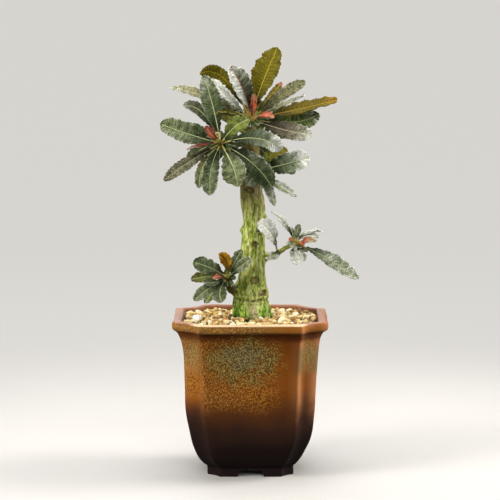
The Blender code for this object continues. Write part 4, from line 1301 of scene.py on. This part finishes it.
def leaf_surface(name, under):
    """A hairy leaf: its tone, veins that run to the teeth, a fine net, silver hairs with painted sheen, a
    painted highlight on the edges and painted shade towards the base.
    """
    s = Surface(name, {"Roughness": 0.6, "Specular IOR Level": 0.15, "Sheen Weight": 0.03})
    u, passed, share = s.split(s.attribute("leaf_place", "Vector"))
    across = abs(u)
    slant = (1.0 - s.math("POWER", across, VEIN_BEND)) * VEIN_SLANT
    passed = passed + s.math("GREATER_THAN", u, 0.0) * 0.5 + slant
    vein_distance = abs(s.math("FRACT", passed) - 0.5)
    side_vein = s.band(vein_distance, 0.15, 0.04) * s.band(across, 1.1, 0.75)
    net = s.band(s.net(0.75), 0.2, 0.05)
    cloud, hairs = s.noise(0.33, 3.0, 0.6), s.noise(1.9, 2.0, 0.6)
    rib_tone, frost, veined = s.attribute("rib_tone", "Color"), s.attribute("frost"), s.attribute("veined")
    s.colour(s.attribute("leaf_tone", "Color"))
    mottle = (1.0 - veined * 0.7) * s.band(frost, 0.0, 0.3, 0.35, 1.0)
    s.paint(s.band(cloud, 0.34, 0.58, 0.95, 0.0) * mottle, (118, 130, 84), "MULTIPLY")
    if under:
        s.paint(0.35, (132, 140, 92))
    vein_tone = s.mix(veined, s.tone, rib_tone)
    s.paint(net * 0.35, vein_tone)
    dots = s.band(s.noise(1.3, 1.0), 0.6, 0.68)
    # Cover of white hairs: their own silver and painted sheen, a painted highlight along the edges, and less
    # towards the base, where the blade is in painted shade
    cover = frost + (cloud - 0.5) * 1.1 + (hairs - 0.5) * 0.5 + s.band(across, 0.86, 0.98) * 0.3
    cover = cover + dots * frost * 0.12 - s.band(share, 0.0, 0.35, 0.5, 0.0)
    white = s.band(cover, 0.25, 1.2, 0.0, 0.9) * s.band(frost, 0.0, 0.2)
    s.paint(white, s.mix(s.band(cover, 0.55, 1.25), (132, 140, 108), (234, 236, 226)))
    s.paint(side_vein * s.band(frost, 0.0, 0.9, 0.9, 0.2), vein_tone)
    s.paint(s.band(s.attribute("rib_distance"), 0.42, 0.22) * 0.9, rib_tone)
    # Painted shade towards the base of each blade, deep in the rosette
    s.paint(s.band(share, 0.02, 0.45, 0.85, 0.0), (104, 114, 76), "MULTIPLY")
    s.bump(net * -0.7 - side_vein * 0.6, 0.5)
    s.bump(hairs, 0.4)
    return s


def stalk_surface():
    s = Surface("leaf_stalk", {"Roughness": 0.55, "Specular IOR Level": 0.25})
    s.colour(s.attribute("rib_tone", "Color"))
    s.paint(s.band(s.attribute("share"), 0.02, 0.3, 0.85, 0.0), (160, 138, 40))
    hairs = s.noise(2.2, 2.0, 0.6)
    s.paint(s.band(hairs, 0.5, 0.75, 0.0, 0.2), (226, 224, 200))
    s.bump(hairs, 0.12)
    return s


def main():
    make_camera()
    make_floor()
    make_light()
    make_pot(glaze_surface())
    make_gravel(grit_surface(), soil_and_gap_shade_surface())
    make_trunk(bark_surface())
    surfaces = leaf_surface("leaf_upper", False), leaf_surface("leaf_under", True), stalk_surface()
    rng, inner_rng = random.Random(3), random.Random(8)
    for node, plan in SHOOTS.items():
        heart, gaze = Vector(plan["heart"]), plan["gaze"]
        leaves = plan["leaves"] + inner_leaves(plan, inner_rng)
        make_leaves(node, leaves, heart, gaze, rng, surfaces)
        if plan["young"]:
            bud = heart + Vector(plan["bud"])
            make_leaves(node + "_young", plan["young"], bud, gaze, rng, surfaces)


main()
